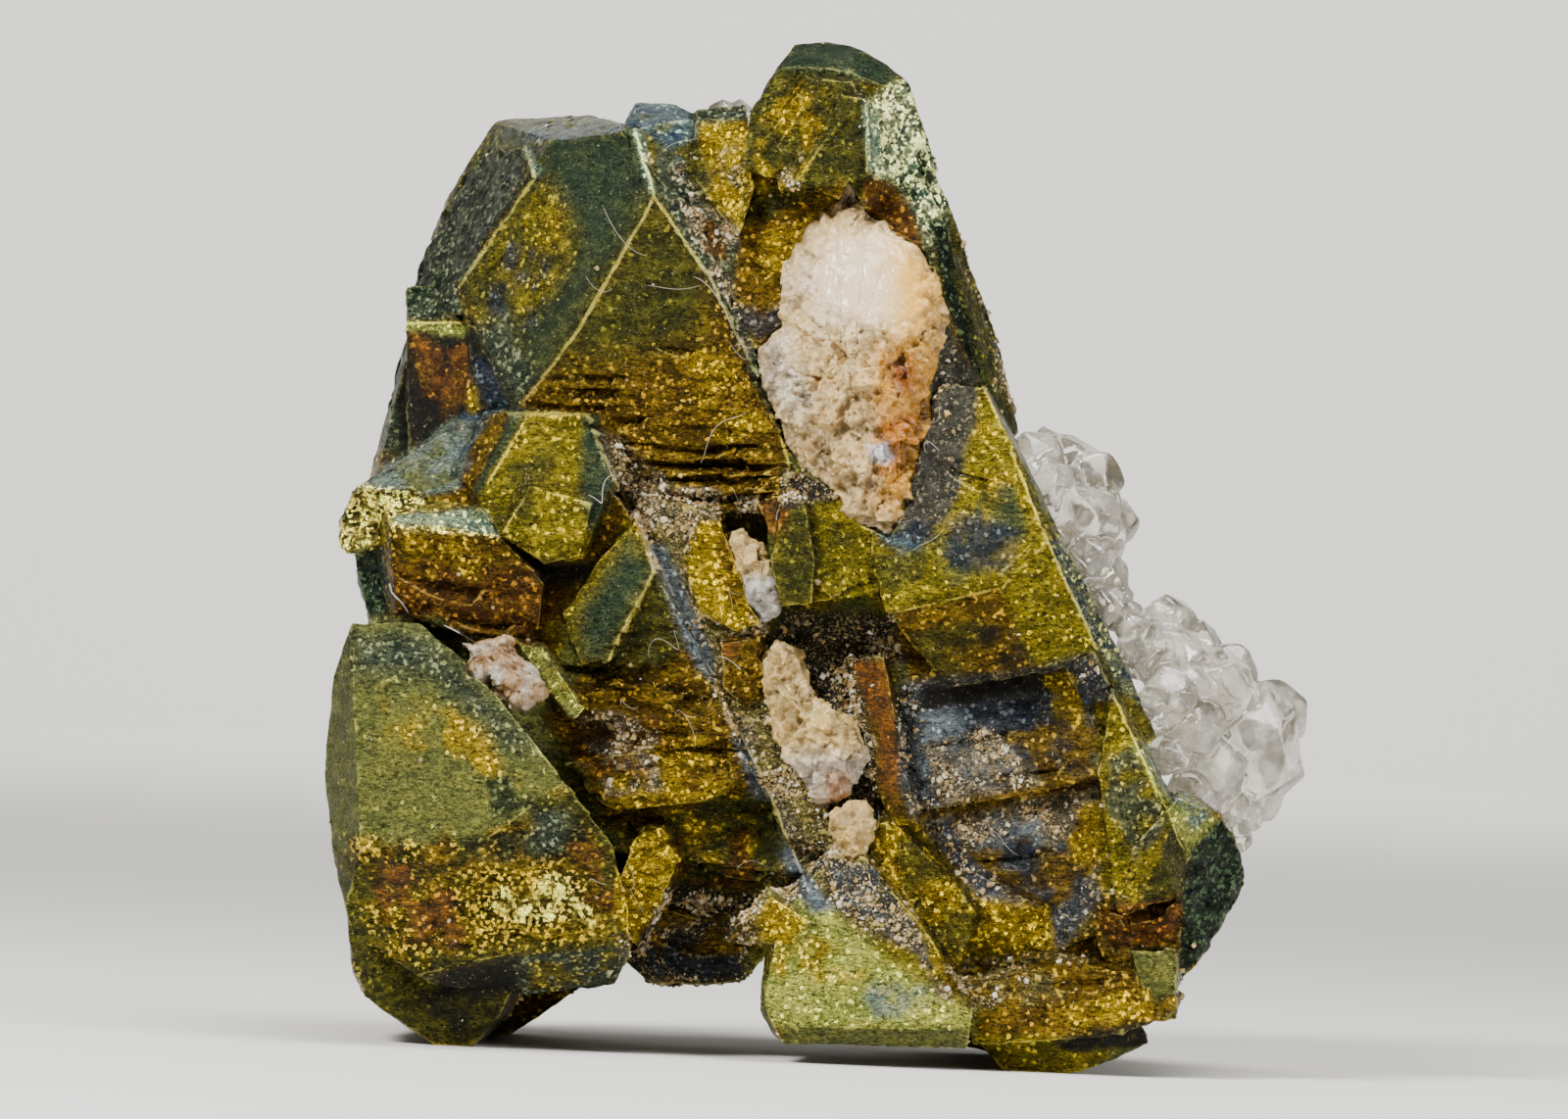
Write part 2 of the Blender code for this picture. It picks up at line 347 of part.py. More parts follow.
# The sides that the askew crystals stay inside: straight lines in the outline of the specimen.
LEFT_UPPER = [((-16.3, 24.0), (-16.3, 31.0)), ((-16.3, 31.0), (-13.2, 38.0)), ((-13.2, 37.8), (-7.8, 37.8))]
LEFT_MIDDLE = [((-18.4, 17.0), (-18.6, 23.0)), ((-18.4, 23.2), (-13.5, 25.8))]
LEFT_LOWER = [((-19.2, 6.0), (-19.2, 18.0)), ((-19.0, 5.4), (-15.4, 1.3)), ((-16.0, 1.6), (-8.0, 3.4))]
RIGHT_UPPER = [((3.3, 39.2), (7.2, 26.8)), ((0.0, 39.0), (3.5, 39.0))]
RIGHT_MIDDLE = [((7.4, 25.2), (13.8, 9.4))]
RIGHT_LOWER = [((12.6, 13.4), (16.2, 9.8)), ((16.6, 9.6), (16.7, 6.2)),
               ((16.8, 6.8), (14.2, 2.6)), ((8.0, 0.6), (14.2, 2.4))]

# Smaller crystals set askew in the sides, the top and the back: the middle (x, z, d), the half
# sizes, how each is turned about x, y and z in degrees, and the sides it stays inside.
ASKEW_CRYSTALS = [
    ((-13.6, 33.0, -4.2), (2.4, 3.4, 3.0), (18, 26, 20), LEFT_UPPER),
    ((-14.4, 27.6, -5.2), (2.8, 3.2, 3.0), (-20, 12, 32), LEFT_UPPER),
    ((-10.2, 35.0, -6.2), (3.2, 3.0, 2.4), (28, -14, 24), LEFT_UPPER),
    ((-4.4, 34.6, -7.6), (3.0, 3.0, 2.4), (-24, 18, 36), LEFT_UPPER),
    ((1.8, 35.2, -6.8), (2.6, 3.4, 2.6), (22, -20, 28), RIGHT_UPPER),
    ((3.6, 29.0, -7.6), (3.0, 4.4, 3.0), (14, -22, 40), RIGHT_UPPER),
    ((-16.2, 20.6, -3.0), (2.4, 3.0, 3.4), (24, 8, 30), LEFT_MIDDLE),
    ((-16.4, 13.0, -5.2), (3.0, 4.2, 3.4), (-16, 6, 24), LEFT_LOWER),
    ((-15.4, 6.8, -4.8), (3.0, 3.2, 3.6), (20, -14, 40), LEFT_LOWER),
    ((7.0, 20.4, -7.4), (2.8, 4.0, 2.8), (-18, -20, 30), RIGHT_MIDDLE),
    ((10.6, 12.0, -6.8), (3.2, 4.0, 3.0), (24, -18, 36), RIGHT_MIDDLE),
    ((13.2, 7.0, -4.8), (3.0, 3.2, 3.4), (-22, 12, 26), RIGHT_LOWER),
    ((-5.4, 30.0, -10.0), (3.0, 4.6, 2.2), (14, -22, 12), LEFT_UPPER),
    ((0.6, 14.0, -12.0), (3.0, 4.2, 2.0), (-12, 26, 10), []),
    ((-10.6, 13.0, -11.0), (3.0, 3.6, 2.2), (18, 24, 8), []),
    ((6.2, 6.8, -11.2), (3.2, 2.8, 2.2), (24, 14, 18), []),
    ((-10.4, 22.4, -9.6), (2.6, 3.4, 2.0), (-20, 20, 14), []),
    ((3.4, 26.0, -11.8), (2.4, 3.6, 1.6), (16, 22, 20), []),
    ((-3.0, 8.6, -8.8), (3.0, 2.6, 3.0), (30, 10, 28), []),
]

# Steps cut across a face: its plane, the start and end of the step, how deep and how high it is.
LEDGES = [
    (FACE_B, (-10.2, 28.1), (-7.6, 27.9), 0.25, 0.5), (FACE_B, (-10.6, 27.5), (-7.2, 27.4), 0.35, 0.6),
    (FACE_B, (-9.2, 26.35), (-6.4, 26.3), 0.45, 0.7), (FACE_B, (-8.4, 25.3), (-2.4, 25.1), 0.5, 0.6),
    (FACE_B, (-8.2, 24.6), (-0.8, 24.45), 0.7, 0.6), (FACE_B, (-6.2, 23.9), (-1.4, 23.95), 0.7, 0.5),
    (FACE_B, (-6.0, 23.2), (-1.6, 23.3), 0.8, 0.6), (FACE_B, (-6.6, 29.1), (-4.4, 29.0), 0.2, 0.4),
    (FACE_M, (-10.6, 18.2), (-7.8, 18.0), 0.4, 0.7), (FACE_M, (-6.2, 15.2), (-3.8, 15.0), 0.3, 0.5),
    (FACE_M, (-11.0, 16.4), (-8.2, 16.1), 0.6, 1.0), (FACE_M, (-5.6, 13.0), (-3.0, 12.9), 0.35, 0.6),
    (leaning((-15.0, 21.5, 9.7), 0.25, 0.3), (-16.9, 19.9), (-12.6, 19.3), 0.5, 0.8),
    (leaning((-15.0, 21.5, 9.7), 0.25, 0.3), (-14.9, 18.2), (-11.6, 17.9), 0.4, 0.5),
    (FACE_G, (4.4, 13.0), (8.6, 13.9), 0.25, 0.5), (FACE_G, (7.2, 11.9), (10.4, 12.3), 0.3, 0.5),
    (leaning((8.0, 9.0, 8.2), 0.12, -0.12), (6.2, 8.4), (9.8, 8.9), 0.35, 0.6),
    (leaning((9.0, 3.0, 10.1), 0.05, 0.1), (8.6, 3.6), (12.4, 3.9), 0.4, 0.6),
    (leaning((13.0, 5.5, 8.9), -0.1, 0.15), (11.2, 6.5), (14.3, 6.9), 0.6, 0.5),
    (leaning((-4.5, 7.0, 6.4), 0.05, 0.12), (-6.9, 6.8), (-2.0, 6.6), 0.5, 0.8),
    (leaning((-4.5, 7.0, 6.4), 0.05, 0.12), (-6.6, 5.2), (-3.2, 5.0), 0.4, 0.6),
    (FACE_D, (-3.0, 32.8), (-1.6, 31.8), 0.25, 0.5), (FACE_D, (5.2, 24.2), (7.4, 23.6), 0.2, 0.4),
    (leaning((-1.0, 37.0, 10.0), 0.12, -0.08), (2.0, 36.9), (3.6, 36.6), 0.7, 0.7),
]

# Calcite in its hollows: outline, the plane of the rock round it, how far it stands out and goes in.
LENS = dict(
    outline=[(1.2, 35.4), (0.8, 34.6), (-0.4, 33.5), (-1.1, 32.0), (-1.2, 30.0), (-2.3, 28.9),
             (-2.1, 27.6), (-1.2, 25.3), (-0.3, 24.2), (0.6, 23.8), (1.7, 22.2), (2.7, 21.7),
             (3.2, 22.4), (3.5, 23.6), (4.2, 26.0), (4.4, 28.2), (4.9, 30.4), (4.1, 32.7),
             (3.0, 33.4), (1.9, 34.2)],
    plane=FACE_D, rise=1.1, sink=1.3)
RIBBON_UPPER = dict(
    outline=[(-3.3, 21.5), (-2.3, 21.2), (-1.9, 19.4), (-1.7, 18.5), (-2.2, 18.1), (-2.7, 19.0)],
    plane=leaning((-2.5, 19.8, 9.5), 0.16, 0.03), rise=0.7, sink=0.8)
RIBBON_LOWER = dict(
    outline=[(-1.7, 17.3), (-1.1, 17.0), (-0.8, 15.0), (0.2, 14.1), (1.5, 13.8), (1.8, 12.6),
             (1.2, 11.5), (0.1, 11.0), (-0.6, 12.0), (-1.4, 13.6), (-2.0, 15.6), (-2.2, 16.4)],
    plane=leaning((-0.5, 14.0, 9.3), 0.16, 0.03), rise=0.9, sink=1.0)
RIBBON_SMALL = dict(
    outline=[(0.8, 10.2), (1.7, 10.6), (1.8, 9.5), (1.4, 8.6), (0.9, 9.1)],
    plane=leaning((1.3, 9.5, 9.7), 0.1, 0.0), rise=0.9, sink=0.7)
SEAM = dict(
    outline=[(-14.2, 17.2), (-12.5, 17.4), (-11.3, 16.1), (-11.0, 15.2), (-12.0, 14.9),
             (-13.6, 16.0)],
    plane=leaning((-12.6, 16.3, 12.0), 0.1, -0.3), rise=0.7, sink=1.0)

# Quartz crystals: tip (x, z, d), the way each points, its length and its width.
QUARTZ_UPPER = [
    ((8.6, 25.4, 1.5), (-0.3, 1.0, 0.3), 4.0, 2.0), ((10.2, 25.6, 0.6), (0.1, 1.0, 0.2), 5.0, 2.9),
    ((11.3, 24.2, 1.2), (0.6, 0.7, 0.3), 4.4, 2.2), ((12.5, 22.0, 0.6), (1.0, 0.15, 0.2), 4.6, 2.3),
    ((11.4, 23.2, 3.4), (0.5, 0.2, 1.0), 3.6, 2.1), ((10.0, 24.0, 4.1), (0.0, 0.3, 1.0), 3.8, 2.4),
    ((11.7, 20.4, 2.0), (0.8, -0.4, 0.5), 3.6, 1.9), ((12.6, 18.9, 1.0), (0.7, -0.5, 0.3), 4.0, 1.8),
    ((10.6, 21.6, 5.0), (0.3, 0.0, 1.0), 3.6, 1.8), ((11.6, 22.2, -2.8), (0.5, 0.2, -1.0), 4.6, 2.8),
    ((9.6, 24.6, -2.6), (0.0, 0.6, -1.0), 4.6, 2.8), ((9.6, 22.6, 5.6), (0.2, 0.0, 1.0), 3.4, 2.0),
    ((11.0, 20.0, 4.6), (0.6, 0.0, 1.0), 3.6, 1.7), ((11.9, 18.6, 4.0), (0.6, -0.2, 1.0), 3.8, 1.7),
    ((8.8, 25.6, 3.2), (-0.1, 1.0, 0.6), 3.4, 2.0), ((9.0, 23.6, 5.2), (0.2, 0.2, 1.0), 3.6, 2.0),
]
QUARTZ_LOWER = [
    ((14.3, 19.0, 2.0), (-0.1, 1.0, 0.2), 4.0, 2.4), ((15.4, 18.2, 0.8), (0.3, 1.0, 0.1), 4.8, 2.4),
    ((16.8, 16.8, 1.5), (0.6, 0.7, 0.3), 5.0, 2.6), ((18.8, 15.5, 0.4), (0.5, 0.8, 0.1), 5.0, 3.0),
    ((19.6, 13.4, 0.8), (1.0, 0.1, 0.2), 6.0, 3.8), ((18.9, 11.4, 0.6), (0.9, -0.5, 0.2), 5.6, 3.2),
    ((17.0, 9.6, 0.4), (0.3, -1.0, 0.1), 4.6, 2.2), ((17.2, 12.6, 4.4), (0.4, -0.1, 1.0), 4.6, 3.2),
    ((15.2, 14.2, 5.8), (0.1, 0.1, 1.0), 4.0, 2.6), ((15.9, 16.2, 4.6), (0.3, 0.4, 1.0), 4.0, 2.4),
    ((14.0, 16.6, 5.4), (0.0, 0.3, 1.0), 3.8, 2.2), ((18.2, 13.8, -3.4), (0.5, 0.2, -1.0), 5.2, 3.8),
    ((15.6, 15.8, -3.6), (0.2, 0.4, -1.0), 5.2, 3.4), ((16.4, 11.4, -2.8), (0.3, -0.5, -1.0), 4.8, 3.0),
    ((13.2, 15.2, 6.2), (0.2, 0.0, 1.0), 4.4, 2.2), ((12.8, 17.4, 4.6), (0.2, 0.3, 1.0), 4.4, 2.2),
    ((18.4, 14.4, 3.4), (0.6, 0.3, 0.8), 5.0, 3.4), ((18.4, 12.2, 3.0), (0.7, -0.2, 0.7), 5.0, 3.2),
    ((15.6, 12.4, 5.6), (0.1, -0.3, 1.0), 4.2, 2.4), ((16.8, 10.6, 3.4), (0.3, -0.6, 0.8), 4.4, 2.6),
    ((13.9, 13.8, 6.0), (0.2, 0.0, 1.0), 4.4, 2.4), ((14.8, 11.8, 4.8), (0.3, -0.1, 1.0), 4.4, 2.0),
    ((17.2, 8.4, 0.8), (0.2, -1.0, 0.2), 4.6, 2.4), ((16.9, 9.4, 2.6), (0.3, -0.6, 0.8), 4.0, 2.2),
    ((19.85, 14.2, 0.2), (1.0, 0.3, 0.1), 5.6, 3.2), ((19.4, 12.2, 1.0), (1.0, -0.3, 0.2), 5.6, 3.0),
    ((13.2, 18.7, 3.2), (-0.2, 1.0, 0.4), 4.0, 2.2), ((15.4, 17.2, 3.4), (0.4, 0.6, 0.6), 4.4, 2.6),
]
QUARTZ_TIP = [
    ((-3.4, 39.65, -2.2), (0.1, 1.0, 0.0), 3.0, 2.2), ((-4.6, 39.1, -2.0), (-0.5, 1.0, 0.1), 2.4, 1.6),
]


def box_mesh(low, high):
    """A closed box between two corners (x, y, z) in millimetres, as a bmesh."""
    bm = bmesh.new()
    bmesh.ops.create_cube(bm, size=1.0)
    for v in bm.verts:
        v.co = Vector([low[i] if v.co[i] < 0 else high[i] for i in range(3)])
    return bm


def cut_away(bm, point, normal):
    """Cuts off what lies beyond the plane through point, and closes the cut with a face."""
    whole = bm.verts[:] + bm.edges[:] + bm.faces[:]
    cut = bmesh.ops.bisect_plane(bm, geom=whole, dist=1e-5, plane_co=point, plane_no=normal, clear_outer=True)
    edges = [e for e in cut["geom_cut"] if isinstance(e, bmesh.types.BMEdge)]
    if edges:
        bmesh.ops.contextual_create(bm, geom=edges)


def crystal_mesh(outline, front, lean, back, grow=0.0, facing=1.0):
    """A convex crystal. Grow moves every face outwards; facing -1 turns its front to the back."""
    xs = [p[0] for p in outline]
    zs = [p[1] for p in outline]
    bm = box_mesh((min(xs) - 25.0, -40.0, min(zs) - 25.0), (max(xs) + 25.0, 40.0, max(zs) + 25.0))
    middle = Vector((sum(xs) / len(xs), sum(zs) / len(zs)))
    for a, b, c in front:
        normal = Vector((-a, -facing, -b)).normalized()
        place = Vector((middle[0], -facing * (a * middle[0] + b * middle[1] + c), middle[1]))
        cut_away(bm, place + normal * grow, normal)
    for i, p in enumerate(outline):
        q = outline[(i + 1) % len(outline)]
        mid = ((p[0] + q[0]) / 2, (p[1] + q[1]) / 2)
        out = Vector((q[1] - p[1], p[0] - q[0])).normalized()
        if out.dot(Vector(mid) - middle) < 0:
            out = -out
        angle, spread = lean[i] if isinstance(lean[i], tuple) else (lean[i], SPREAD)
        flare = math.tan(math.radians(angle))
        start = Vector((p[0], -facing * depth(front, *p), p[1]))
        place = Vector((q[0], -facing * depth(front, *q), q[1]))
        normal = (place - start).cross(Vector((out[0] * flare, facing, out[1] * flare))).normalized()
        if normal.dot(Vector((out[0], 0.0, out[1]))) < 0:
            normal = -normal
        cut_away(bm, place + normal * grow, normal)
        place = Vector((mid[0], -facing * depth(front, *mid), mid[1]))
        if angle > 0:
            normal = Vector((out[0], facing * UNDERCUT, out[1])).normalized()
            place += Vector((out[0], 0.0, out[1])) * spread + Vector((0.0, facing * spread / flare, 0.0))
            cut_away(bm, place + normal * grow, normal)
    for reach, left, down in back:
        normal = Vector((left, facing, down)).normalized()
        place = Vector((middle[0], -facing * reach, middle[1]))
        cut_away(bm, place + normal * grow, normal)
    bmesh.ops.remove_doubles(bm, verts=bm.verts[:], dist=1e-4)
    return bm


def askew_mesh(middle, half, turns, sides):
    """A brick-shaped crystal, three of its corners cut off, turned and kept inside the given sides."""
    bm = box_mesh([-h for h in (half[0], half[2], half[1])], (half[0], half[2], half[1]))
    for sx, sy, sz, cut in ((1, -1, 1, 0.72), (-1, 1, 1, 0.8), (1, 1, -1, 0.66)):
        normal = Vector((sx / half[0], sy / half[2], sz / half[1])).normalized()
        corner = Vector((sx * half[0], sy * half[2], sz * half[1]))
        cut_away(bm, corner * cut, normal)
    turn = Euler([math.radians(t) for t in turns]).to_matrix().to_4x4()
    place_at = Matrix.Translation(Vector((middle[0], -middle[2], middle[1])))
    bmesh.ops.transform(bm, matrix=place_at @ turn, verts=bm.verts[:])
    for p, q in sides:
        normal = Vector((q[1] - p[1], 0.0, p[0] - q[0])).normalized()
        if normal.dot(Vector((middle[0] - p[0], 0.0, middle[1] - p[1]))) > 0:
            normal = -normal
        cut_away(bm, Vector((p[0], 0.0, p[1])), normal)
    return bm


def ledge_mesh(plane, start, end, deep, high):
    """A wedge that cuts a step: a flat ceiling along the line, and a face that slopes back out."""
    along = Vector((end[0] - start[0], end[1] - start[1])).normalized()
    down = Vector((along[1], -along[0]))
    if down[1] > 0:
        down = -down
    out = 0.6
    section = [(0.0, -deep), (0.0, out), (high * (1 + out / deep), out)]
    bm = bmesh.new()
    rings = []
    for part, wide in ((0.0, 0.05), (0.3, 0.8), (0.7, 1.0), (1.0, 0.05)):
        ring = []
        for low, d in section:
            x = start[0] + (end[0] - start[0]) * part + down[0] * low * wide
            z = start[1] + (end[1] - start[1]) * part + down[1] * low * wide
            ring.append(bm.verts.new((x, -(depth([plane], x, z) + (d * wide if d < 0 else d)), z)))
        rings.append(ring)
    bm.faces.new(rings[0])
    bm.faces.new(rings[-1][::-1])
    for a, b in zip(rings, rings[1:]):
        for i in range(3):
            j = (i + 1) % 3
            bm.faces.new((a[j], a[i], b[i], b[j]))
    bmesh.ops.recalc_face_normals(bm, faces=bm.faces[:])
    return bm


def crust_mesh(outline, plane, rise, sink, grow=0.0):
    """A lump in a hollow: rings of the outline, drawn in towards the front and towards the back."""
    cx = sum(p[0] for p in outline) / len(outline)
    cz = sum(p[1] for p in outline) / len(outline)
    rings = [(0.55, -sink - grow), (0.85, -sink * 0.75 - grow), (1.0, 0.0), (0.86, rise * 0.6), (0.5, rise)]
    if grow:
        rings = [(s, d) for s, d in rings if d <= 0.0] + [(1.0, 3.0)]
    bm = bmesh.new()
    loops = []
    for k, (scale, d) in enumerate(rings):
        loop = []
        for i, (x, z) in enumerate(outline):
            r = math.hypot(x - cx, z - cz)
            s = scale * (1.0 + grow / r)
            uneven = 0.0 if k == 2 or grow else 0.12 * math.sin(7.1 * i + 2.3 * k)
            px = cx + (x - cx) * s
            pz = cz + (z - cz) * s
            loop.append(bm.verts.new((px, -(depth([plane], px, pz) + d + uneven), pz)))
        loops.append(loop)
    for a, b in zip(loops, loops[1:]):
        for i in range(len(outline)):
            j = (i + 1) % len(outline)
            bm.faces.new((a[i], a[j], b[j], b[i]))
    for loop, d in ((loops[0], rings[0][1]), (loops[-1], rings[-1][1])):
        tip = bm.verts.new((cx, -(depth([plane], cx, cz) + d * 1.08), cz))
        for i in range(len(outline)):
            bm.faces.new((loop[i], loop[(i + 1) % len(outline)], tip))
    bmesh.ops.recalc_face_normals(bm, faces=bm.faces[:])
    return bm


def quartz_mesh(tip, way, length, width):
    """A six-sided quartz crystal with a pointed, uneven end. Its tip and direction are (x, z, d)."""
    end = Vector((tip[0], -tip[2], tip[1]))
    axis = Vector((way[0], -way[2], way[1])).normalized()
    side = axis.orthogonal().normalized()
    other = axis.cross(side)
    bm = bmesh.new()
    rings = []
    for back, scale in ((length, 0.8), (width * 0.42, 1.0), (width * 0.12, 0.42)):
        ring = []
        for i in range(6):
            turn = math.radians(60.0 * i + 9.0 * tip[0])
            r = width / 2 * scale * (1.0 + 0.1 * math.sin(3.0 * i + tip[1]))
            out = side * math.cos(turn) + other * math.sin(turn)
            ring.append(bm.verts.new(end - axis * back + out * r))
        rings.append(ring)
    bm.faces.new(rings[0])
    for a, b in zip(rings, rings[1:]):
        for i in range(6):
            bm.faces.new((a[i], b[i], b[(i + 1) % 6], a[(i + 1) % 6]))
    bm.faces.new(rings[-1][::-1])
    bmesh.ops.recalc_face_normals(bm, faces=bm.faces[:])
    return bm


def material(name, colour, roughness, metallic=0.0, clear=0.0):
    """A Principled material with the mineral's colour and finish."""
    mat = bpy.data.materials.new(name)
    mat.use_nodes = True
    shader = mat.node_tree.nodes["Principled BSDF"]
    shader.inputs["Base Color"].default_value = (*colour, 1.0)
    shader.inputs["Roughness"].default_value = roughness
    shader.inputs["Metallic"].default_value = metallic
    shader.inputs["Transmission Weight"].default_value = clear
    return mat


def place(bm, name, mat=None):
    """Puts a bmesh into the scene as an object, still in millimetres."""
    mesh = bpy.data.meshes.new(name)
    bm.to_mesh(mesh)
    bm.free()
    obj = bpy.data.objects.new(name, mesh)
    bpy.context.scene.collection.objects.link(obj)
    if mat:
        mesh.materials.append(mat)
    return obj


def combine(obj, others, operation):
    """Joins the others to obj, or cuts them out of it, one after the other, and removes them."""
    for other in others:
        boolean = obj.modifiers.new("combine", "BOOLEAN")
        boolean.operation = operation
        boolean.solver = "MANIFOLD"
        boolean.object = other
        evaluated = obj.evaluated_get(bpy.context.evaluated_depsgraph_get())
        mesh = bpy.data.meshes.new_from_object(evaluated)
        obj.modifiers.clear()
        obj.data = mesh
        bpy.data.objects.remove(other)
    return obj


def joined(meshes, name, mat):
    """One object from several overlapping closed meshes."""
    objs = [place(bm, name if i == 0 else "part_of_" + name) for i, bm in enumerate(meshes)]
    whole = combine(objs[0], objs[1:], "UNION")
    whole.data.materials.clear()
    whole.data.materials.append(mat)
    return whole


def clean(obj):
    """Makes every face a triangle."""
    bm = bmesh.new()
    bm.from_mesh(obj.data)
    bmesh.ops.triangulate(bm, faces=bm.faces[:])
    bm.to_mesh(obj.data)
    bm.free()


def fill_hollows(obj):
    """Keeps the outer shell alone, so that gaps shut in between crystals are filled."""
    bm = bmesh.new()
    bm.from_mesh(obj.data)
    left = set(bm.faces)
    shells = []
    while left:
        shell = {left.pop()}
        edge = list(shell)
        while edge:
            near = {f for e in edge.pop().edges for f in e.link_faces} & left
            left -= near
            shell |= near
            edge += near
        shells.append(shell)
    outer = max(shells, key=len)
    bmesh.ops.delete(bm, geom=[f for s in shells if s is not outer for f in s], context="FACES")
    bm.to_mesh(obj.data)
    bm.free()


def make_cluster(mat):
    """All the chalcopyrite crystals as one solid, with its steps and the hollows for calcite."""
    meshes = [crystal_mesh(**c) for c in CRYSTALS.values()]
    meshes += [crystal_mesh(facing=-1.0, **c) for c in BACK_CRYSTALS.values()]
    meshes += [askew_mesh(*c) for c in ASKEW_CRYSTALS]
    whole = joined(meshes, "chalcopyrite_cluster", mat)
    fill_hollows(whole)
    cutters = [ledge_mesh(*ledge) for ledge in LEDGES]
    cutters += [crust_mesh(grow=GAP, **c) for c in (LENS, RIBBON_UPPER, RIBBON_LOWER, RIBBON_SMALL, SEAM)]
    combine(whole, [place(bm, "cutter") for bm in cutters], "DIFFERENCE")
    return whole


def make_quartz(name, crystals, mat):
    """A group of quartz crystals as one solid, kept a small gap off the chalcopyrite."""
    group = joined([quartz_mesh(*c) for c in crystals], name, mat)
    swollen = [place(crystal_mesh(grow=GAP, **c), "cutter") for c in CRYSTALS.values()]
    swollen += [place(crystal_mesh(grow=GAP, facing=-1.0, **c), "cutter") for c in BACK_CRYSTALS.values()]
    near = [s for s in swollen if overlap(s, group)]
    for s in swollen:
        if s not in near:
            bpy.data.objects.remove(s)
    return combine(group, near, "DIFFERENCE")


def corners(obj):
    """The lowest and highest corner of an object's mesh."""
    points = np.array([v.co[:] for v in obj.data.vertices])
    return points.min(axis=0), points.max(axis=0)


def overlap(a, b):
    """Whether the boxes of two objects meet."""
    low_a, high_a = corners(a)
    low_b, high_b = corners(b)
    return bool(np.all(low_a < high_b) and np.all(low_b < high_a))


def stand(objects):
    """Turns the specimen so that both its feet meet the ground, flattens them, and centres it."""
    turn = Matrix.Rotation(-math.radians(STAND_TURN), 4, "Y")
    for obj in objects:
        obj.data.transform(turn)
    ground = min(corners(o)[0][2] for o in objects) + FLAT
    for obj in objects:
        bm = bmesh.new()
        bm.from_mesh(obj.data)
        cut_away(bm, Vector((0, 0, ground)), Vector((0, 0, -1)))
        bmesh.ops.triangulate(bm, faces=bm.faces[:])
        bm.to_mesh(obj.data)
        bm.free()
    low = np.min([corners(o)[0] for o in objects], axis=0)
    high = np.max([corners(o)[1] for o in objects], axis=0)
    shift = Vector((-(low[0] + high[0]) / 2, -(low[1] + high[1]) / 2, -low[2]))
    for obj in objects:
        obj.data.transform(Matrix.Scale(MM, 4) @ Matrix.Translation(shift))
        obj.data.update()


def main():
    """Builds every piece of the specimen."""
    for obj in list(bpy.data.objects):
        bpy.data.objects.remove(obj)
    brass = material("chalcopyrite", (0.23, 0.19, 0.06), 0.35, metallic=1.0)
    calcite = material("calcite", (0.82, 0.68, 0.5), 0.5)
    quartz = material("quartz", (0.9, 0.9, 0.88), 0.12, clear=0.8)
    objects = [make_cluster(brass)]
    objects.append(place(crust_mesh(**LENS), "calcite_lens", calcite))
    objects.append(place(crust_mesh(**RIBBON_UPPER), "calcite_ribbon_upper", calcite))
    objects.append(place(crust_mesh(**RIBBON_LOWER), "calcite_ribbon_lower", calcite))
    objects.append(place(crust_mesh(**RIBBON_SMALL), "calcite_ribbon_small", calcite))
    objects.append(place(crust_mesh(**SEAM), "quartz_seam", quartz))
    objects.append(make_quartz("quartz_upper", QUARTZ_UPPER, quartz))
    objects.append(make_quartz("quartz_lower", QUARTZ_LOWER, quartz))
    objects.append(make_quartz("quartz_tip", QUARTZ_TIP, quartz))
    for obj in objects:
        fill_hollows(obj)
        clean(obj)
    stand(objects)


main()
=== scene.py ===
"""The looks of a chalcopyrite specimen: brassy crystals, sugary dust, calcite and quartz.

Places on the specimen are millimetres in the plane of the picture: x to the right, z up, and d
towards the viewer. The solids stand turned by STAND_TURN and moved by SHIFT from there.
"""

import math

import bpy
import numpy as np
from mathutils.bvhtree import BVHTree
from mathutils import Matrix, Vector


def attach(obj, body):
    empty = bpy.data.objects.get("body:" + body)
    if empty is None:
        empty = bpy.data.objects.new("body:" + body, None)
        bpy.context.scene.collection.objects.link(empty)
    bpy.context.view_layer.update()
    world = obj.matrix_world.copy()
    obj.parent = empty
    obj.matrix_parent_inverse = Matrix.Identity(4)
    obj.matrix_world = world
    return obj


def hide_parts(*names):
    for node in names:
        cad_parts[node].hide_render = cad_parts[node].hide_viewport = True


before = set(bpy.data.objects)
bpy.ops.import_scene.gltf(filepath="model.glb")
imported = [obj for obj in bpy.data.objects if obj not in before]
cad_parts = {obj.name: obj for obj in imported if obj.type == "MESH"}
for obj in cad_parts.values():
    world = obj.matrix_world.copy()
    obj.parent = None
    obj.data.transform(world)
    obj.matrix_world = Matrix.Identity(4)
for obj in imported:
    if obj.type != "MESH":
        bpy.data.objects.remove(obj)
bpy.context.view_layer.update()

bl_info = {
    "name": "Chalcopyrite specimen",
    "version": (1, 0, 0),
    "blender": (4, 5, 0),
    "location": "View3D > Sidebar > Specimen",
    "description": "Dresses the crystals, calcite and quartz of a chalcopyrite specimen",
    "category": "Object",
}

MM = 0.001
STAND_TURN = math.atan2(1.05, 23.3)
SHIFT = np.array([0.6475, -0.8292, -0.3649])
PICTURE_MIDDLE = (-1.4, 20.56)
PICTURE_WIDTH = 64.0
CAMERA_DISTANCE = 533.0
SENSOR = 36.0

# Corners closer than this, in metres, are one point.
WELD = 1e-7

# The most triangles that the largest piece keeps.
MOST_TRIANGLES = 196000

# Points along a thread of lint, and how far in front of the crystals its rays start.
THREAD_POINTS = 22
RAY_START = 40.0


def linear(colour):
    """An sRGB hex colour as linear red, green and blue."""
    parts = [int(colour[i:i + 2], 16) / 255 for i in (0, 2, 4)]
    return [c / 12.92 if c <= 0.04045 else ((c + 0.055) / 1.055) ** 2.4 for c in parts]


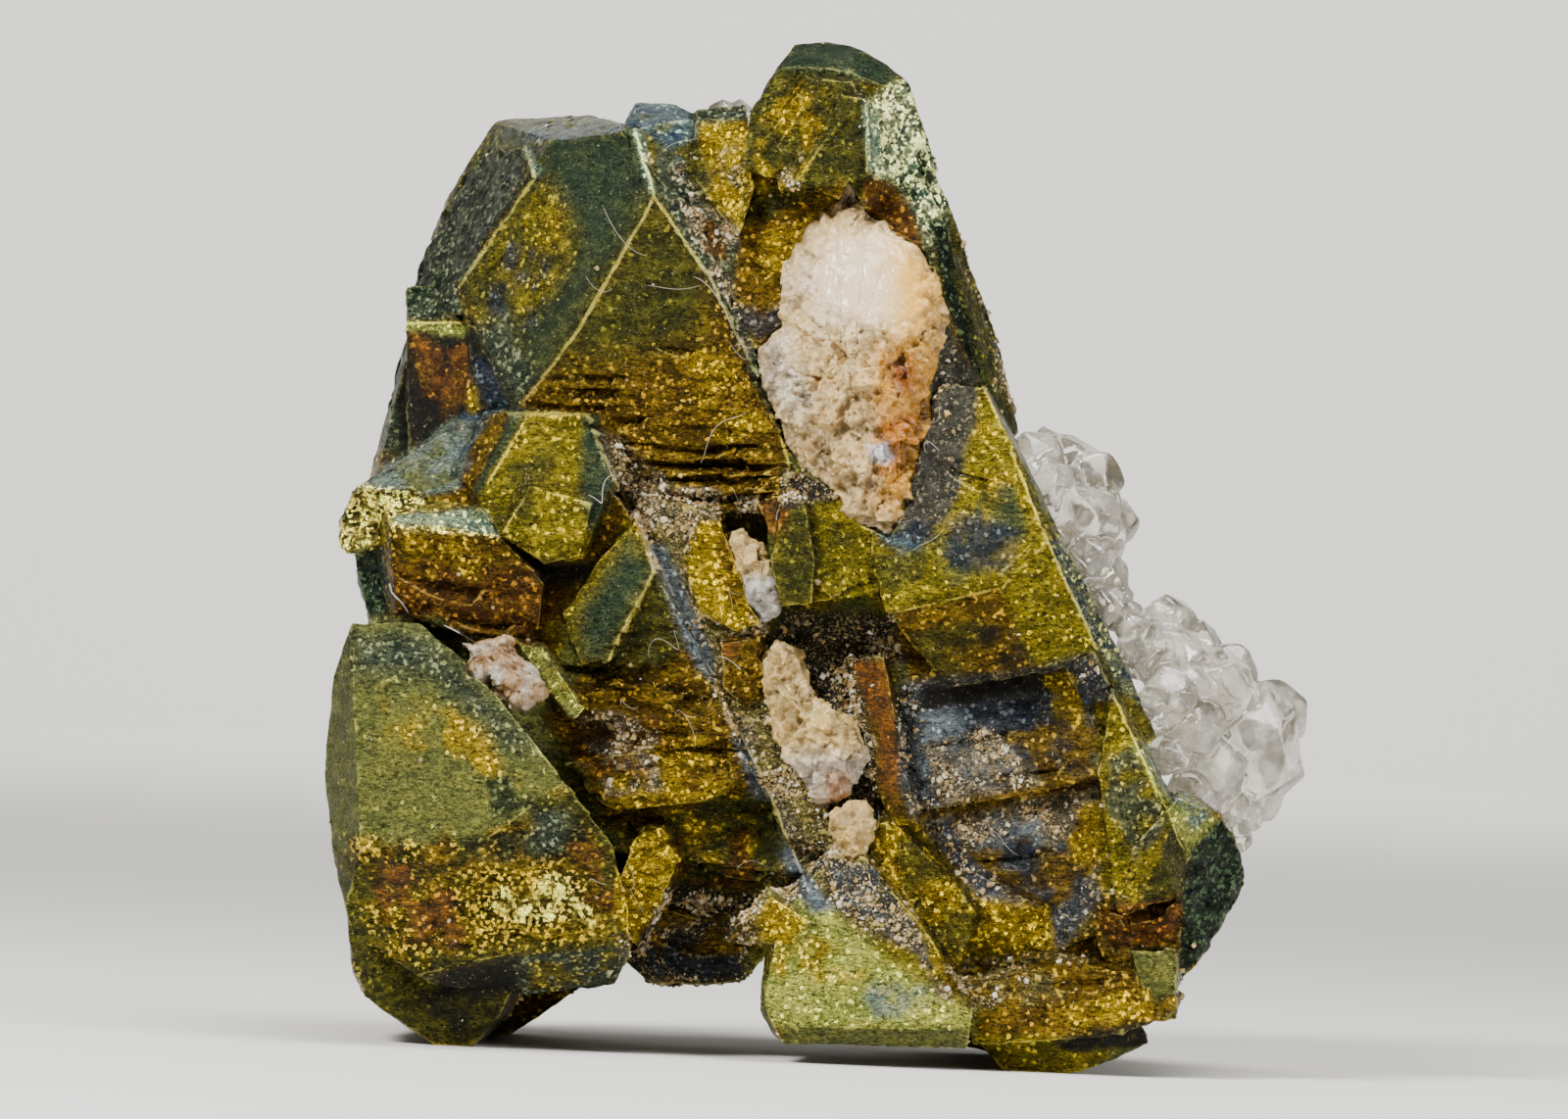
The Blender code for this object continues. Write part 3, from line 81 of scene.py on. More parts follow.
def to_plane(points):
    """Metres in the scene to (x, y, z) millimetres in the plane of the picture: y is minus d."""
    p = points / MM - SHIFT
    c, s = math.cos(STAND_TURN), math.sin(STAND_TURN)
    return np.column_stack([p[:, 0] * c + p[:, 2] * s, p[:, 1], p[:, 2] * c - p[:, 0] * s])


def to_scene(points):
    """(x, y, z) millimetres in the plane of the picture to metres in the scene."""
    c, s = math.cos(STAND_TURN), math.sin(STAND_TURN)
    turned = np.column_stack([points[:, 0] * c - points[:, 2] * s, points[:, 1],
                              points[:, 2] * c + points[:, 0] * s])
    return (turned + SHIFT) * MM


def hashed(i, j, k, seed):
    """A repeatable number from 0 to 1 for each corner of a lattice of whole numbers."""
    h = (i * 374761393 + j * 668265263 + k * 1442695041 + seed * 974634777) & 0xFFFFFFFF
    h = ((h ^ (h >> 13)) * 1274126177) & 0xFFFFFFFF
    h = ((h ^ (h >> 15)) * 668265263) & 0xFFFFFFFF
    return (h ^ (h >> 16)) / 4294967295.0


def noise(points, size, seed=0):
    """Smooth noise from -1 to 1: hashed values at the corners of cubes of this size, blended."""
    p = points / size
    low = np.floor(p).astype(np.int64)
    t = p - low
    t = t * t * (3 - 2 * t)
    total = np.zeros(len(p))
    for a in (0, 1):
        for b in (0, 1):
            for c in (0, 1):
                weight = np.abs(1 - a - t[:, 0]) * np.abs(1 - b - t[:, 1]) * np.abs(1 - c - t[:, 2])
                total += weight * hashed(low[:, 0] + a, low[:, 1] + b, low[:, 2] + c, seed)
    return total * 2 - 1


def fractal(points, size, octaves=3, seed=0):
    """Noise plus finer noise, each octave half as wide and a little over half as strong."""
    total = np.zeros(len(points))
    for k in range(octaves):
        total += noise(points, size / 2.03 ** k, seed + 17 * k) * 0.55 ** k
    return total / (sum(0.55 ** k for k in range(octaves)))


def cells(points, size, seed=0):
    """Cells round scattered centres. For each point how much nearer its own centre is than the next
    one (0 on a border between cells), a number from 0 to 1 that is the cell's own, and how high the
    point stands on a flat facet that each cell tilts its own way."""
    p = points / size
    low = np.floor(p).astype(np.int64)
    first = np.full(len(p), 9.0)
    second = np.full(len(p), 9.0)
    own = np.zeros(len(p))
    off = np.zeros((3, len(p)))
    for a in (-1, 0, 1):
        for b in (-1, 0, 1):
            for c in (-1, 0, 1):
                i, j, k = low[:, 0] + a, low[:, 1] + b, low[:, 2] + c
                away = np.array([i + hashed(i, j, k, seed) - p[:, 0],
                                 j + hashed(i, j, k, seed + 1) - p[:, 1],
                                 k + hashed(i, j, k, seed + 2) - p[:, 2]])
                far = np.sqrt((away * away).sum(axis=0))
                nearer = far < first
                second = np.where(nearer, first, np.minimum(second, far))
                own = np.where(nearer, hashed(i, j, k, seed + 3), own)
                off = np.where(nearer, away, off)
                first = np.where(nearer, far, first)
    tilt = (off * np.array([np.cos(own * 40), np.sin(own * 23), np.sin(own * 40)])).sum(axis=0)
    return second - first, own, tilt


def smooth(low, high, value):
    """0 below low, 1 above high, and an S-curve between."""
    t = np.clip((value - low) / (high - low), 0, 1)
    return t * t * (3 - 2 * t)


def inside(x, z, outline, feather):
    """1 well inside the outline, 0 well outside it, and an S-curve of this width on its edge."""
    nearest = np.full(len(x), 1e9)
    within = np.zeros(len(x), bool)
    for (ax, az), (bx, bz) in zip(outline, outline[1:] + outline[:1]):
        ux, uz = bx - ax, bz - az
        t = np.clip(((x - ax) * ux + (z - az) * uz) / (ux * ux + uz * uz), 0, 1)
        nearest = np.minimum(nearest, np.hypot(x - ax - t * ux, z - az - t * uz))
        if uz != 0:
            crosses = ((az > z) != (bz > z)) & (x < ux * (z - az) / uz + ax)
            within ^= crosses
    signed = np.where(within, nearest, -nearest)
    return smooth(-feather / 2, feather / 2, signed)


def read_mesh(mesh):
    """A mesh's points in metres, and its triangles."""
    points = np.empty(len(mesh.vertices) * 3, np.float32)
    mesh.vertices.foreach_get("co", points)
    mesh.calc_loop_triangles()
    triangles = np.empty(len(mesh.loop_triangles) * 3, np.int32)
    mesh.loop_triangles.foreach_get("vertices", triangles)
    return points.reshape(-1, 3).astype(float), triangles.reshape(-1, 3).astype(np.int64)


def merged(node):
    """A node's points, in the plane of the picture, with each corner once, and its triangles."""
    points, triangles = read_mesh(bpy.data.objects[node].data)
    rounded = np.round(points / WELD).astype(np.int64)
    corners, which = np.unique(rounded, axis=0, return_inverse=True)
    triangles = which.reshape(-1)[triangles]
    a, b, c = triangles.T
    whole = (a != b) & (b != c) & (c != a)
    return to_plane(corners * WELD), triangles[whole]


def edge_list(triangles, count):
    """Each edge once, as pairs of points, and for each triangle the numbers of its three edges."""
    pairs = np.sort(triangles[:, [[0, 1], [1, 2], [2, 0]]].reshape(-1, 2).astype(np.int64), axis=1)
    keys, which = np.unique(pairs[:, 0] * count + pairs[:, 1], return_inverse=True)
    return np.column_stack([keys // count, keys % count]), which.reshape(-1, 3)


def refine(points, triangles, longest):
    """Halves every edge longer than longest(middle, facing) until none is, where facing is how far
    its triangles look at the viewer. A triangle with one, two or three halved edges becomes two,
    three or four triangles."""
    for _ in range(12):
        edges, of = edge_list(triangles, len(points))
        a, b = points[edges[:, 0]], points[edges[:, 1]]
        p, q, r = (points[triangles[:, i]] for i in range(3))
        face = np.cross(q - p, r - p)
        look = -face[:, 1] / np.maximum(np.linalg.norm(face, axis=1), 1e-12)
        facing = np.full(len(edges), -1.0)
        np.maximum.at(facing, of.ravel(), np.repeat(look, 3))
        split = np.linalg.norm(a - b, axis=1) > longest((a + b) / 2, facing)
        if not split.any():
            break
        number = np.full(len(edges), -1)
        number[split] = len(points) + np.arange(split.sum())
        points = np.vstack([points, (a[split] + b[split]) / 2])
        middles = number[of]
        marked = middles >= 0
        count = marked.sum(axis=1)
        turn = np.where(count == 1, marked.argmax(axis=1), 0)
        turn = np.where(count == 2, (~marked).argmax(axis=1) + 1, turn)
        order = (np.arange(3)[None] + turn[:, None]) % 3
        t = np.take_along_axis(triangles, order, 1)
        m = np.take_along_axis(middles, order, 1)
        one, two, three = count == 1, count == 2, count == 3
        parts = [t[count == 0]]
        parts += [np.column_stack([t[one, 0], m[one, 0], t[one, 2]])]
        parts += [np.column_stack([m[one, 0], t[one, 1], t[one, 2]])]
        parts += [np.column_stack([m[two, 0], t[two, 1], m[two, 1]])]
        first = np.linalg.norm(points[t[:, 0]] - points[m[:, 1]], axis=1)
        other = np.linalg.norm(points[m[:, 0]] - points[t[:, 2]], axis=1)
        near, far = two & (first <= other), two & (first > other)
        parts += [np.column_stack([t[near, 0], m[near, 0], m[near, 1]])]
        parts += [np.column_stack([t[near, 0], m[near, 1], t[near, 2]])]
        parts += [np.column_stack([t[far, 0], m[far, 0], t[far, 2]])]
        parts += [np.column_stack([m[far, 0], m[far, 1], t[far, 2]])]
        parts += [np.column_stack([t[three, 0], m[three, 0], m[three, 2]])]
        parts += [np.column_stack([m[three, 0], t[three, 1], m[three, 1]])]
        parts += [np.column_stack([m[three, 2], m[three, 1], t[three, 2]])]
        parts += [m[three]]
        triangles = np.vstack(parts)
    return points, triangles


def normals_of(points, triangles):
    """The normal at each point: the mean of its triangles' normals, weighted by their areas."""
    a, b, c = (points[triangles[:, i]] for i in range(3))
    face = np.cross(b - a, c - a)
    total = np.column_stack([
        np.bincount(triangles.ravel(), np.repeat(face[:, i], 3), len(points)) for i in range(3)])
    return total / np.maximum(np.linalg.norm(total, axis=1), 1e-12)[:, None]


def neighbour_mean(values, edges):
    """For each point the mean of the values at the points it has an edge to."""
    count = np.bincount(edges.ravel(), minlength=len(values))
    flat = values.reshape(len(values), -1)
    total = np.column_stack([
        np.bincount(edges[:, 0], flat[edges[:, 1], i], len(values))
        + np.bincount(edges[:, 1], flat[edges[:, 0], i], len(values))
        for i in range(flat.shape[1])])
    return (total / np.maximum(count, 1)[:, None]).reshape(values.shape)


def ridge_of(points, normals, edges, spread):
    """How sharply the surface bends out (+) or in (-) at each point, from about -1 to 1: the step
    from a point to the mean of its neighbours, along the normal, spread over a few neighbours."""
    step = neighbour_mean(points, edges) - points
    size = np.linalg.norm(points[edges[:, 0]] - points[edges[:, 1]], axis=1)
    reach = np.bincount(edges.ravel(), np.repeat(size, 2), len(points))
    reach /= np.maximum(np.bincount(edges.ravel(), minlength=len(points)), 1)
    bend = -np.einsum("ij,ij->i", step, normals) / np.maximum(reach, 1e-6) * 6
    bend = np.clip(bend, -1, 1)
    out, deep = np.maximum(bend, 0), np.maximum(-bend, 0)
    for _ in range(spread):
        out = np.maximum(out * 0.75, neighbour_mean(out, edges))
        deep = np.maximum(deep * 0.75, neighbour_mean(deep, edges))
    return out, deep


# Kinds of surface: colour, fleck colour, how dull it is (0 bright metal, 1 earthy), how much
# sugary dust lies on it (0 to 1), how many painted glints shine in it (0 to 1), how rough its
# relief is and how wide its bumps are, in millimetres, and how much painted shade blackens the
# pits of its grain (0 to 1).
SKINS = {
    "olive gold": ("554f0c", "a8941c", 0.10, 0.05, 0.22, 0.030, 0.45, 0.55),
    "dark olive": ("323416", "6a651a", 0.12, 0.05, 0.15, 0.035, 0.40, 0.60),
    "gold": ("7a640a", "cfae1a", 0.06, 0.05, 0.40, 0.035, 0.45, 0.45),
    "brown gold": ("4a3808", "a07e14", 0.12, 0.05, 0.25, 0.040, 0.40, 0.65),
    "rust brown": ("42260a", "8f6414", 0.20, 0.07, 0.25, 0.055, 0.45, 0.60),
    "rust": ("4a2c06", "b06c10", 0.40, 0.06, 0.10, 0.070, 0.40, 0.55),
    "black": ("0b0b08", "26240f", 0.30, 0.06, 0.15, 0.060, 0.40, 0.30),
    "black green": ("0b120f", "36472e", 0.10, 0.03, 0.50, 0.080, 0.50, 0.50),
    "black with sugar": ("12100a", "3c3614", 0.50, 0.34, 0.20, 0.120, 0.40, 0.40),
    "grey green": ("29322a", "5d6649", 0.15, 0.05, 0.45, 0.060, 0.35, 0.60),
    "smooth green": ("2b3b2c", "4e5a36", 0.08, 0.03, 0.04, 0.012, 0.80, 0.35),
    "top cap": ("3a4e3c", "8c8438", 0.10, 0.06, 0.25, 0.030, 0.50, 0.35),
    "blue": ("30445a", "7f9c94", 0.10, 0.03, 0.20, 0.020, 0.50, 0.40),
    "dark blue": ("171d2c", "4c5358", 0.15, 0.04, 0.25, 0.030, 0.45, 0.50),
    "blue with gold": ("2b3c4c", "a6a864", 0.12, 0.05, 0.35, 0.040, 0.30, 0.50),
    "pale blue": ("6c7c74", "9aa586", 0.12, 0.03, 0.08, 0.020, 0.60, 0.35),
    "pale green": ("63806c", "b6c088", 0.08, 0.03, 0.40, 0.020, 0.45, 0.30),
    "glitter green": ("38564a", "cdd48c", 0.05, 0.04, 1.00, 0.070, 0.30, 0.45),
    "bright green": ("84903a", "cbc85c", 0.08, 0.10, 0.25, 0.025, 0.45, 0.25),
    "pale olive": ("565c2c", "848238", 0.12, 0.03, 0.10, 0.030, 0.60, 0.30),
    "sparkling": ("2e2f0c", "b89a26", 0.05, 0.03, 0.80, 0.110, 0.35, 0.45),
    "bright lumps": ("2a2a12", "f2dc60", 0.05, 0.03, 1.00, 0.160, 0.40, 0.30),
    "grey crust": ("1b2026", "5a6166", 0.55, 0.22, 0.25, 0.090, 0.40, 0.50),
    "grey matrix": ("26261e", "5e5a44", 0.55, 0.14, 0.25, 0.150, 0.45, 0.60),
    "blue crust": ("505c62", "98a2a4", 0.50, 0.10, 0.15, 0.060, 0.45, 0.45),
    "white crust": ("3c3824", "97896a", 0.50, 0.38, 0.20, 0.090, 0.35, 0.50),
    "dusty olive": ("45421c", "8f8038", 0.25, 0.32, 0.30, 0.090, 0.40, 0.55),
}

# Where each kind of surface shows on the display side: outlines in (x, z), the later over the
# earlier, each with the width over which it fades in. A last number breaks it into patches of
# about that size, in millimetres.
REGIONS = [
    ("grey green", 0.5, [(-12, 38), (-13.9, 37.2), (-15.3, 35.2), (-16.6, 32.5), (-17.2, 30.2),
                         (-14.2, 30.4), (-14.6, 31.6), (-11.8, 36), (-12, 37.3)]),
    ("black green", 1.0, [(-13.4, 37.6), (-16.0, 35.2), (-17.6, 30.4), (-15.6, 30.4),
                          (-14.8, 33.6)], 0.7),
    ("dark olive", 0.6, [(-11.8, 37.2), (-7.4, 38), (-6.6, 35.1), (-9.6, 29.9), (-12.4, 26.5),
                         (-13.9, 30.2), (-14.6, 31.6), (-11.8, 36)]),
    ("olive gold", 1.2, [(-11.5, 36.1), (-9.8, 35.6), (-9.4, 32.8), (-11.4, 29.0), (-12.8, 27.4),
                         (-14.0, 30.6), (-14.4, 31.8)], 1.3),
    ("gold", 0.9, [(-11.0, 35.4), (-9.4, 35.2), (-9.4, 33.4), (-10.8, 32.8), (-12.6, 32.6)], 0.8),
    ("dark blue", 0.8, [(-12.6, 33.6), (-10.6, 32.8), (-11.4, 29.4), (-13.8, 30.6)], 0.5),
    ("smooth green", 1.6, [(-11.6, 37.6), (-7.2, 38.2), (-6.4, 35.1), (-9.6, 29.7), (-12.3, 26.4),
                           (-11.6, 29.8), (-9.6, 33.0), (-10.8, 36.0)]),
    ("grey green", 1.2, [(-14.2, 29.8), (-12.2, 26.4), (-11.4, 28.0), (-12.6, 30.6)]),
    ("top cap", 0.3, [(-14, 37.4), (-13.3, 39), (-9.5, 39), (-7.6, 38.3), (-7.6, 37.8),
                      (-11.9, 37.2)]),
    ("blue", 0.4, [(-12.6, 38.2), (-10.4, 38.4), (-7.8, 38.2), (-7.6, 37.7), (-12, 37.4)], 0.6),
    # Painted highlight: the next two pale strips lie along bright edges.
    ("pale green", 0.15, [(-12.1, 37.4), (-11.7, 37.4), (-11.1, 36.1), (-11.5, 36.0)]),
    ("pale green", 0.15, [(-7.5, 37.8), (-7.1, 37.8), (-6.5, 35.3), (-6.8, 35.2)]),
    # Painted shadow: the black block under the lower left edge of the crystal above.
    ("black", 0.5, [(-17.2, 30), (-14, 30.1), (-12.4, 26.8), (-14.2, 26), (-17.2, 24.8)]),
    ("rust brown", 0.9, [(-16.8, 30.0), (-14.2, 29.4), (-13.6, 27.4), (-15.2, 26.0),
                         (-16.4, 27.4)], 1.6),
    ("rust", 0.9, [(-16.4, 29.6), (-14.2, 29.2), (-14.3, 27.2), (-15.6, 27.0)], 0.5),
    # Painted highlight: a bright strip along the edge above it.
    ("bright green", 0.25, [(-17.2, 30.4), (-14.2, 30), (-14.3, 29.6), (-17.2, 30.0)]),
    ("dark blue", 0.4, [(-14.1, 28.9), (-13.3, 28.6), (-12.5, 26.8), (-14.0, 26.2)]),
    ("blue", 0.3, [(-14.6, 26.4), (-12.6, 26.9), (-12.7, 26.5), (-14.4, 26.0)]),
    ("gold", 0.3, [(-14.2, 27.6), (-13.9, 27.7), (-13.7, 26.6), (-14.2, 26.4)]),
    ("brown gold", 0.5, [(-6.6, 35.1), (-4.6, 31.9), (-2.2, 27.4), (-1.2, 24.5), (-1.7, 22.3),
                         (-6.5, 22.2), (-8.6, 25), (-9.2, 26.2), (-12, 26.8), (-9.6, 29.9)]),
    ("dark olive", 2.4, [(-6.6, 35.6), (-4.2, 32.6), (-4.6, 29.4), (-8.8, 28.4), (-11.0, 28.6)]),
    ("gold", 1.2, [(-5.6, 29.2), (-3.4, 29.0), (-1.8, 25.6), (-3.8, 25.2), (-5.6, 27.4)], 0.9),
    ("dark olive", 0.4, [(-7.2, 38), (-4.9, 38.1), (-4.4, 36.5), (-5, 35.4), (-5.9, 35.6)]),
    ("blue", 0.8, [(-6.8, 38), (-5.6, 37.8), (-5.2, 36.2), (-6.2, 35.6)], 0.8),
    ("grey green", 0.4, [(-6.6, 36.8), (-5.6, 36.6), (-5.0, 35.4), (-3.1, 33.5), (-3.4, 31.4),
                         (-2.2, 28.6), (-1.4, 25.4), (-2.0, 26.4), (-4.4, 31.8), (-6.4, 35.2)]),
    ("white crust", 0.5, [(-5.8, 37.0), (-5.0, 35.6), (-3.3, 33.9), (-3.0, 32.2), (-3.4, 30.8),
                          (-2.4, 28.6), (-3.0, 28.8), (-4.0, 31.2), (-5.3, 33.9),
                          (-6.0, 35.8)], 0.7),
    ("rust brown", 0.5, [(-4.9, 34.6), (-3.9, 34.0), (-3.6, 32.6), (-4.6, 32.8)], 0.5),
    ("blue", 0.5, [(-8, 38.1), (-7.5, 39.3), (-6, 39.3), (-5, 38.6), (-4.9, 37.7), (-5.8, 37.3),
                   (-7, 37.8)]),
    ("top cap", 0.4, [(-7.2, 38.4), (-6, 38.7), (-5.2, 38.2), (-6.4, 37.6)], 0.5),
    ("gold", 0.3, [(-4.9, 38.2), (-2.9, 38.4), (-2.7, 36), (-3.2, 33.8), (-4.2, 35), (-4.6, 36.8)]),
    ("dusty olive", 0.4, [(-4.2, 37.2), (-2.6, 37.4), (-2.8, 35.4), (-4.0, 35.6)], 0.6),
    ("grey green", 0.3, [(-5.2, 38.8), (-2.6, 38.8), (-2.6, 38.2), (-5.2, 38.1)]),
    ("dark olive", 0.4, [(-2.8, 38.4), (-1.6, 40.3), (0, 40.4), (1.6, 40.1), (1.9, 38.8), (1.9, 36),
                         (0.9, 35.6), (-3.1, 33.9)]),
    ("gold", 0.8, [(-2.6, 38.2), (-0.6, 40.0), (0.6, 39.6), (-0.2, 36.0), (-3.0, 34.4)], 0.9),
    ("dusty olive", 0.5, [(-1.8, 35.6), (-0.2, 38.4), (0.4, 38.2), (-0.8, 35.2)], 0.5),
    ("smooth green", 0.4, [(-1.8, 40.2), (-0.9, 41.6), (0.3, 41.7), (2.5, 40.9), (3.2, 40),
                           (2.8, 39.5), (0, 40.2)]),
    ("glitter green", 0.3, [(1.8, 38.9), (2.9, 39.7), (3.6, 39.8), (4.3, 37.5), (5.3, 35.5),
                            (5.2, 33.8), (4.2, 33.2), (4, 34.2), (3, 35.6), (2, 36)]),
    ("black green", 0.4, [(2.4, 36.8), (4.0, 37.0), (5.3, 35.0), (5.2, 33.6), (4.2, 33.4),
                          (3.2, 35.4)], 0.6),
    # Painted highlight: a pale strip along a bright edge.
    ("pale green", 0.25, [(1.8, 38.8), (2.4, 38.4), (2.5, 36.2), (1.9, 36.2)]),
    ("rust brown", 0.3, [(1.7, 35.8), (2.9, 35.7), (4, 34.2), (4.1, 33.0), (2, 33.6)]),
    ("brown gold", 0.5, [(-3.1, 33.9), (0.9, 35.6), (0.8, 34.4), (-1.0, 32.5), (-1.3, 29.8),
                         (-2.5, 29.0), (-3.5, 31.5)]),
    ("gold", 0.5, [(-2.8, 33.6), (0.2, 34.8), (-1.2, 32.2), (-2.2, 31.2)], 0.6),
    ("dark blue", 0.6, [(-3.5, 32.8), (-2.9, 31.6), (-2.3, 30.6), (-1.3, 31.0), (-1.3, 29.6),
                        (-2.5, 28.9), (-3.4, 30.6)], 1.2),
    ("black green", 0.4, [(4.4, 34.4), (5.2, 33.9), (6.2, 30.6), (7.0, 27.6), (6.5, 27.4), (5, 31),
                          (4.6, 33)]),
    ("dark olive", 0.4, [(5.1, 35.2), (6.0, 33.5), (7.4, 30), (8.2, 26.9), (7.9, 25), (7.0, 26.9),
                         (5.4, 32)]),
    ("dusty olive", 0.4, [(5.4, 34.2), (6.2, 33.8), (8.0, 28.2), (8.2, 25.6), (7.0, 27.4),
                          (5.8, 31.4)], 0.5),
    ("olive gold", 0.5, [(6.5, 27.5), (7.9, 25.2), (9.2, 21.2), (7.3, 19.5), (2.8, 18.4),
                         (2.1, 19.1),
                         (-1.5, 18.5), (-1.9, 22.8), (0.6, 23.6), (2.6, 21.4), (5.2, 22.3),
                         (5.8, 25), (6.3, 27.5)]),
    ("gold", 1.2, [(6.2, 26.6), (7.5, 25.2), (8.2, 22.8), (6.4, 22.4), (5.8, 24.4)], 0.9),
    ("smooth green", 1.0, [(2.4, 21.4), (5.4, 22.0), (7.4, 24.6), (8.4, 21.6), (5.8, 19.4)], 1.1),
    ("dark olive", 0.8, [(0.0, 22.6), (2.6, 20.8), (4.6, 21.0), (4.4, 19.0), (0.4, 19.2)], 0.9),
    ("grey matrix", 0.4, [(4.3, 29.6), (5.0, 30.6), (6.3, 27.8), (6.2, 26), (5.8, 25), (5.7, 24),
                          (5.2, 22.3), (4, 21.3), (2.8, 22.0), (3.4, 23.3), (4.4, 26.5)]),
    ("dark blue", 0.4, [(1.7, 22.3), (2.6, 21.2), (3.6, 20.9), (4.6, 21.6), (3.9, 22.1),
                        (2.9, 21.6)]),
    ("blue", 0.2, [(2.3, 21.7), (3.4, 20.8), (4.4, 21.4), (3.6, 21.3)]),
    ("dark blue", 0.8, [(4.6, 22.0), (6.4, 22.6), (8.2, 21.8), (7.6, 20.0), (5.2, 20.2)], 0.9),
    ("dark olive", 0.7, [(-1.6, 22.6), (-0.4, 22.8), (0.2, 20.6), (-0.4, 18.8), (-1.7, 18.6)]),
    ("brown gold", 0.3, [(2.8, 18.4), (7.3, 19.4), (8.5, 16.2), (3.9, 15.2)]),
    ("dark olive", 0.5, [(3.4, 17.6), (7.0, 18.4), (6.4, 15.9), (4.0, 15.4)], 0.7),
    ("olive gold", 0.3, [(7.3, 19.5), (9.1, 21.3), (11.1, 17), (11, 16.2), (8.6, 16.1)]),
    ("black", 0.5, [(6.2, 18.0), (7.9, 17.8), (8.8, 16.4), (7.0, 16.2)], 0.5),
    ("blue with gold", 0.2, [(9.1, 21.3), (10.0, 21.6), (13.2, 15.2), (12.6, 14.6), (11, 17.2)]),
    ("grey crust", 0.5, [(3.2, 15.6), (8.5, 16.2), (11, 16.8), (12.0, 14.5), (11.8, 12), (12.2, 8),
                         (9.6, 4.8), (5, 7.8), (3.7, 10.2), (3.0, 12.4)]),
    # Painted shadow: the black strip under the overhanging lower edge of the block above.
    ("black", 0.6, [(4.2, 15.5), (8.6, 16.2), (10.6, 16.4), (10.4, 15.3), (6.4, 14.9),
                    (4.0, 14.4)]),
    ("black", 1.0, [(5.0, 14.6), (11.2, 15.8), (11.6, 9.0), (9.0, 5.6), (6.4, 8.0)], 1.3),
    ("dark blue", 0.8, [(4.2, 14.6), (11.2, 15.4), (11.8, 9.0), (9.0, 5.6), (5.0, 9.6)], 1.6),
    ("brown gold", 0.6, [(4.2, 13.0), (11.2, 14.4), (11.8, 9.0), (9.0, 5.6), (5.0, 9.6)], 0.7),
    ("blue crust", 0.8, [(3.6, 14.4), (5.6, 14.8), (8.8, 12.4), (9.6, 9.0), (6.4, 8.6),
                         (3.8, 11.0)], 0.9),
    ("white crust", 0.8, [(4.0, 13.0), (6.4, 14.4), (9.2, 11.4), (11.4, 11.8), (11.0, 9.4),
                          (5.8, 9.0)], 1.2),
    ("brown gold", 0.6, [(4.0, 10.5), (8.2, 11.4), (11.4, 12.2), (11.4, 11.7), (8.2, 10.8),
                         (4.0, 9.9)]),
    ("gold", 0.7, [(9.0, 16.0), (10.8, 16.2), (10.6, 13.6), (9.4, 13.9)], 0.9),
    ("gold", 0.8, [(9.6, 10.6), (12.2, 11.0), (12.6, 8.6), (11.6, 6.6), (10.2, 8.0)], 0.9),
    ("rust", 0.5, [(1.1, 16.6), (2.7, 16.4), (3.1, 14), (3.2, 12.6), (3.1, 10.6), (2.4, 11.6),
                   (2.2, 13.6)]),
    ("black", 0.4, [(1.9, 13.4), (2.6, 13.8), (3.3, 11.2), (2.6, 10.8)], 0.6),
    # Painted shadow: black under the overhang above and down into the recess; the dust on it is its
    # own.
    ("black with sugar", 0.5, [(-1.5, 18.5), (3.0, 18.4), (3.4, 16.6), (1.4, 16.4), (2.2, 13),
                               (2.3, 10.2), (0.8, 10.6), (-0.8, 14.6), (-1.8, 17.4)]),
    ("olive gold", 0.4, [(11.0, 14.8), (12.6, 15.0), (14.3, 10), (13.3, 8), (12.8, 6.6),
                         (11.2, 7.4),
                         (11.3, 12)]),
    ("grey green", 1.0, [(11.0, 12.6), (12.6, 13.2), (14.0, 10.0), (12.6, 8.2), (11.6, 9.4)], 1.2),
    ("dark olive", 0.3, [(14.2, 10.0), (14.9, 8.8), (14.5, 6.9), (12.8, 6.7)]),
    ("bright green", 0.3, [(12.4, 13.2), (13.1, 13.3), (16.4, 9.6), (14.9, 8.6), (14.2, 10)]),
    ("blue", 0.3, [(12.4, 13.2), (13.1, 13.3), (16.4, 9.6), (15.4, 9.2), (13.8, 11.2)], 0.5),
    ("black green", 0.3, [(14.9, 8.8), (16.3, 10.4), (17.6, 8), (17.4, 6.2), (14.5, 2.9),
                          (14.5, 7)]),
    ("rust brown", 0.4, [(11.2, 6.6), (14.5, 7.1), (14.5, 5), (11.6, 4.9)]),
    ("rust", 0.4, [(12.4, 6.8), (14.5, 7.1), (14.5, 5.4), (12.6, 5.2)], 0.6),
    ("pale olive", 0.3, [(12.4, 4.9), (14.5, 4.9), (14.5, 3.0), (13, 2.9)]),
    ("brown gold", 0.5, [(4.6, 4.6), (9.5, 5), (12.4, 4.9), (13, 3), (14.5, 2.9), (13.6, 1.9),
                         (9.5, 1.3), (6.1, 1.2), (5.5, 2.6)]),
    ("dusty olive", 0.6, [(4.8, 4.6), (9.5, 5), (11.4, 4.6), (9.6, 2.6), (5.8, 2.4)], 0.7),
    ("gold", 0.6, [(9.4, 2.6), (12.6, 3.6), (14.4, 2.9), (13.6, 2.0), (9.6, 1.6)], 0.6),
    ("olive gold", 0.5, [(6, 1.6), (9.5, 1.4), (12, 1.0), (10.8, -0.2), (8, -0.5), (6.5, 0.5)]),
    ("black", 0.3, [(9.5, 1.3), (13.5, 2.1), (13.6, 1.0), (9.8, 0.8)]),
    ("gold", 0.5, [(1.9, 10), (3.8, 10.2), (6.4, 7), (9.3, 6.6), (9.4, 5), (4.8, 4.6), (2.6, 7.8)]),
    ("dark olive", 0.6, [(1.9, 10), (3.8, 10.2), (6.4, 7), (7.2, 5.0), (4.8, 4.6),
                         (2.6, 7.8)], 0.9),
    ("dusty olive", 1.0, [(-3.2, 5.4), (4.3, 5.4), (1.9, 8.8), (-1.3, 9.8)]),
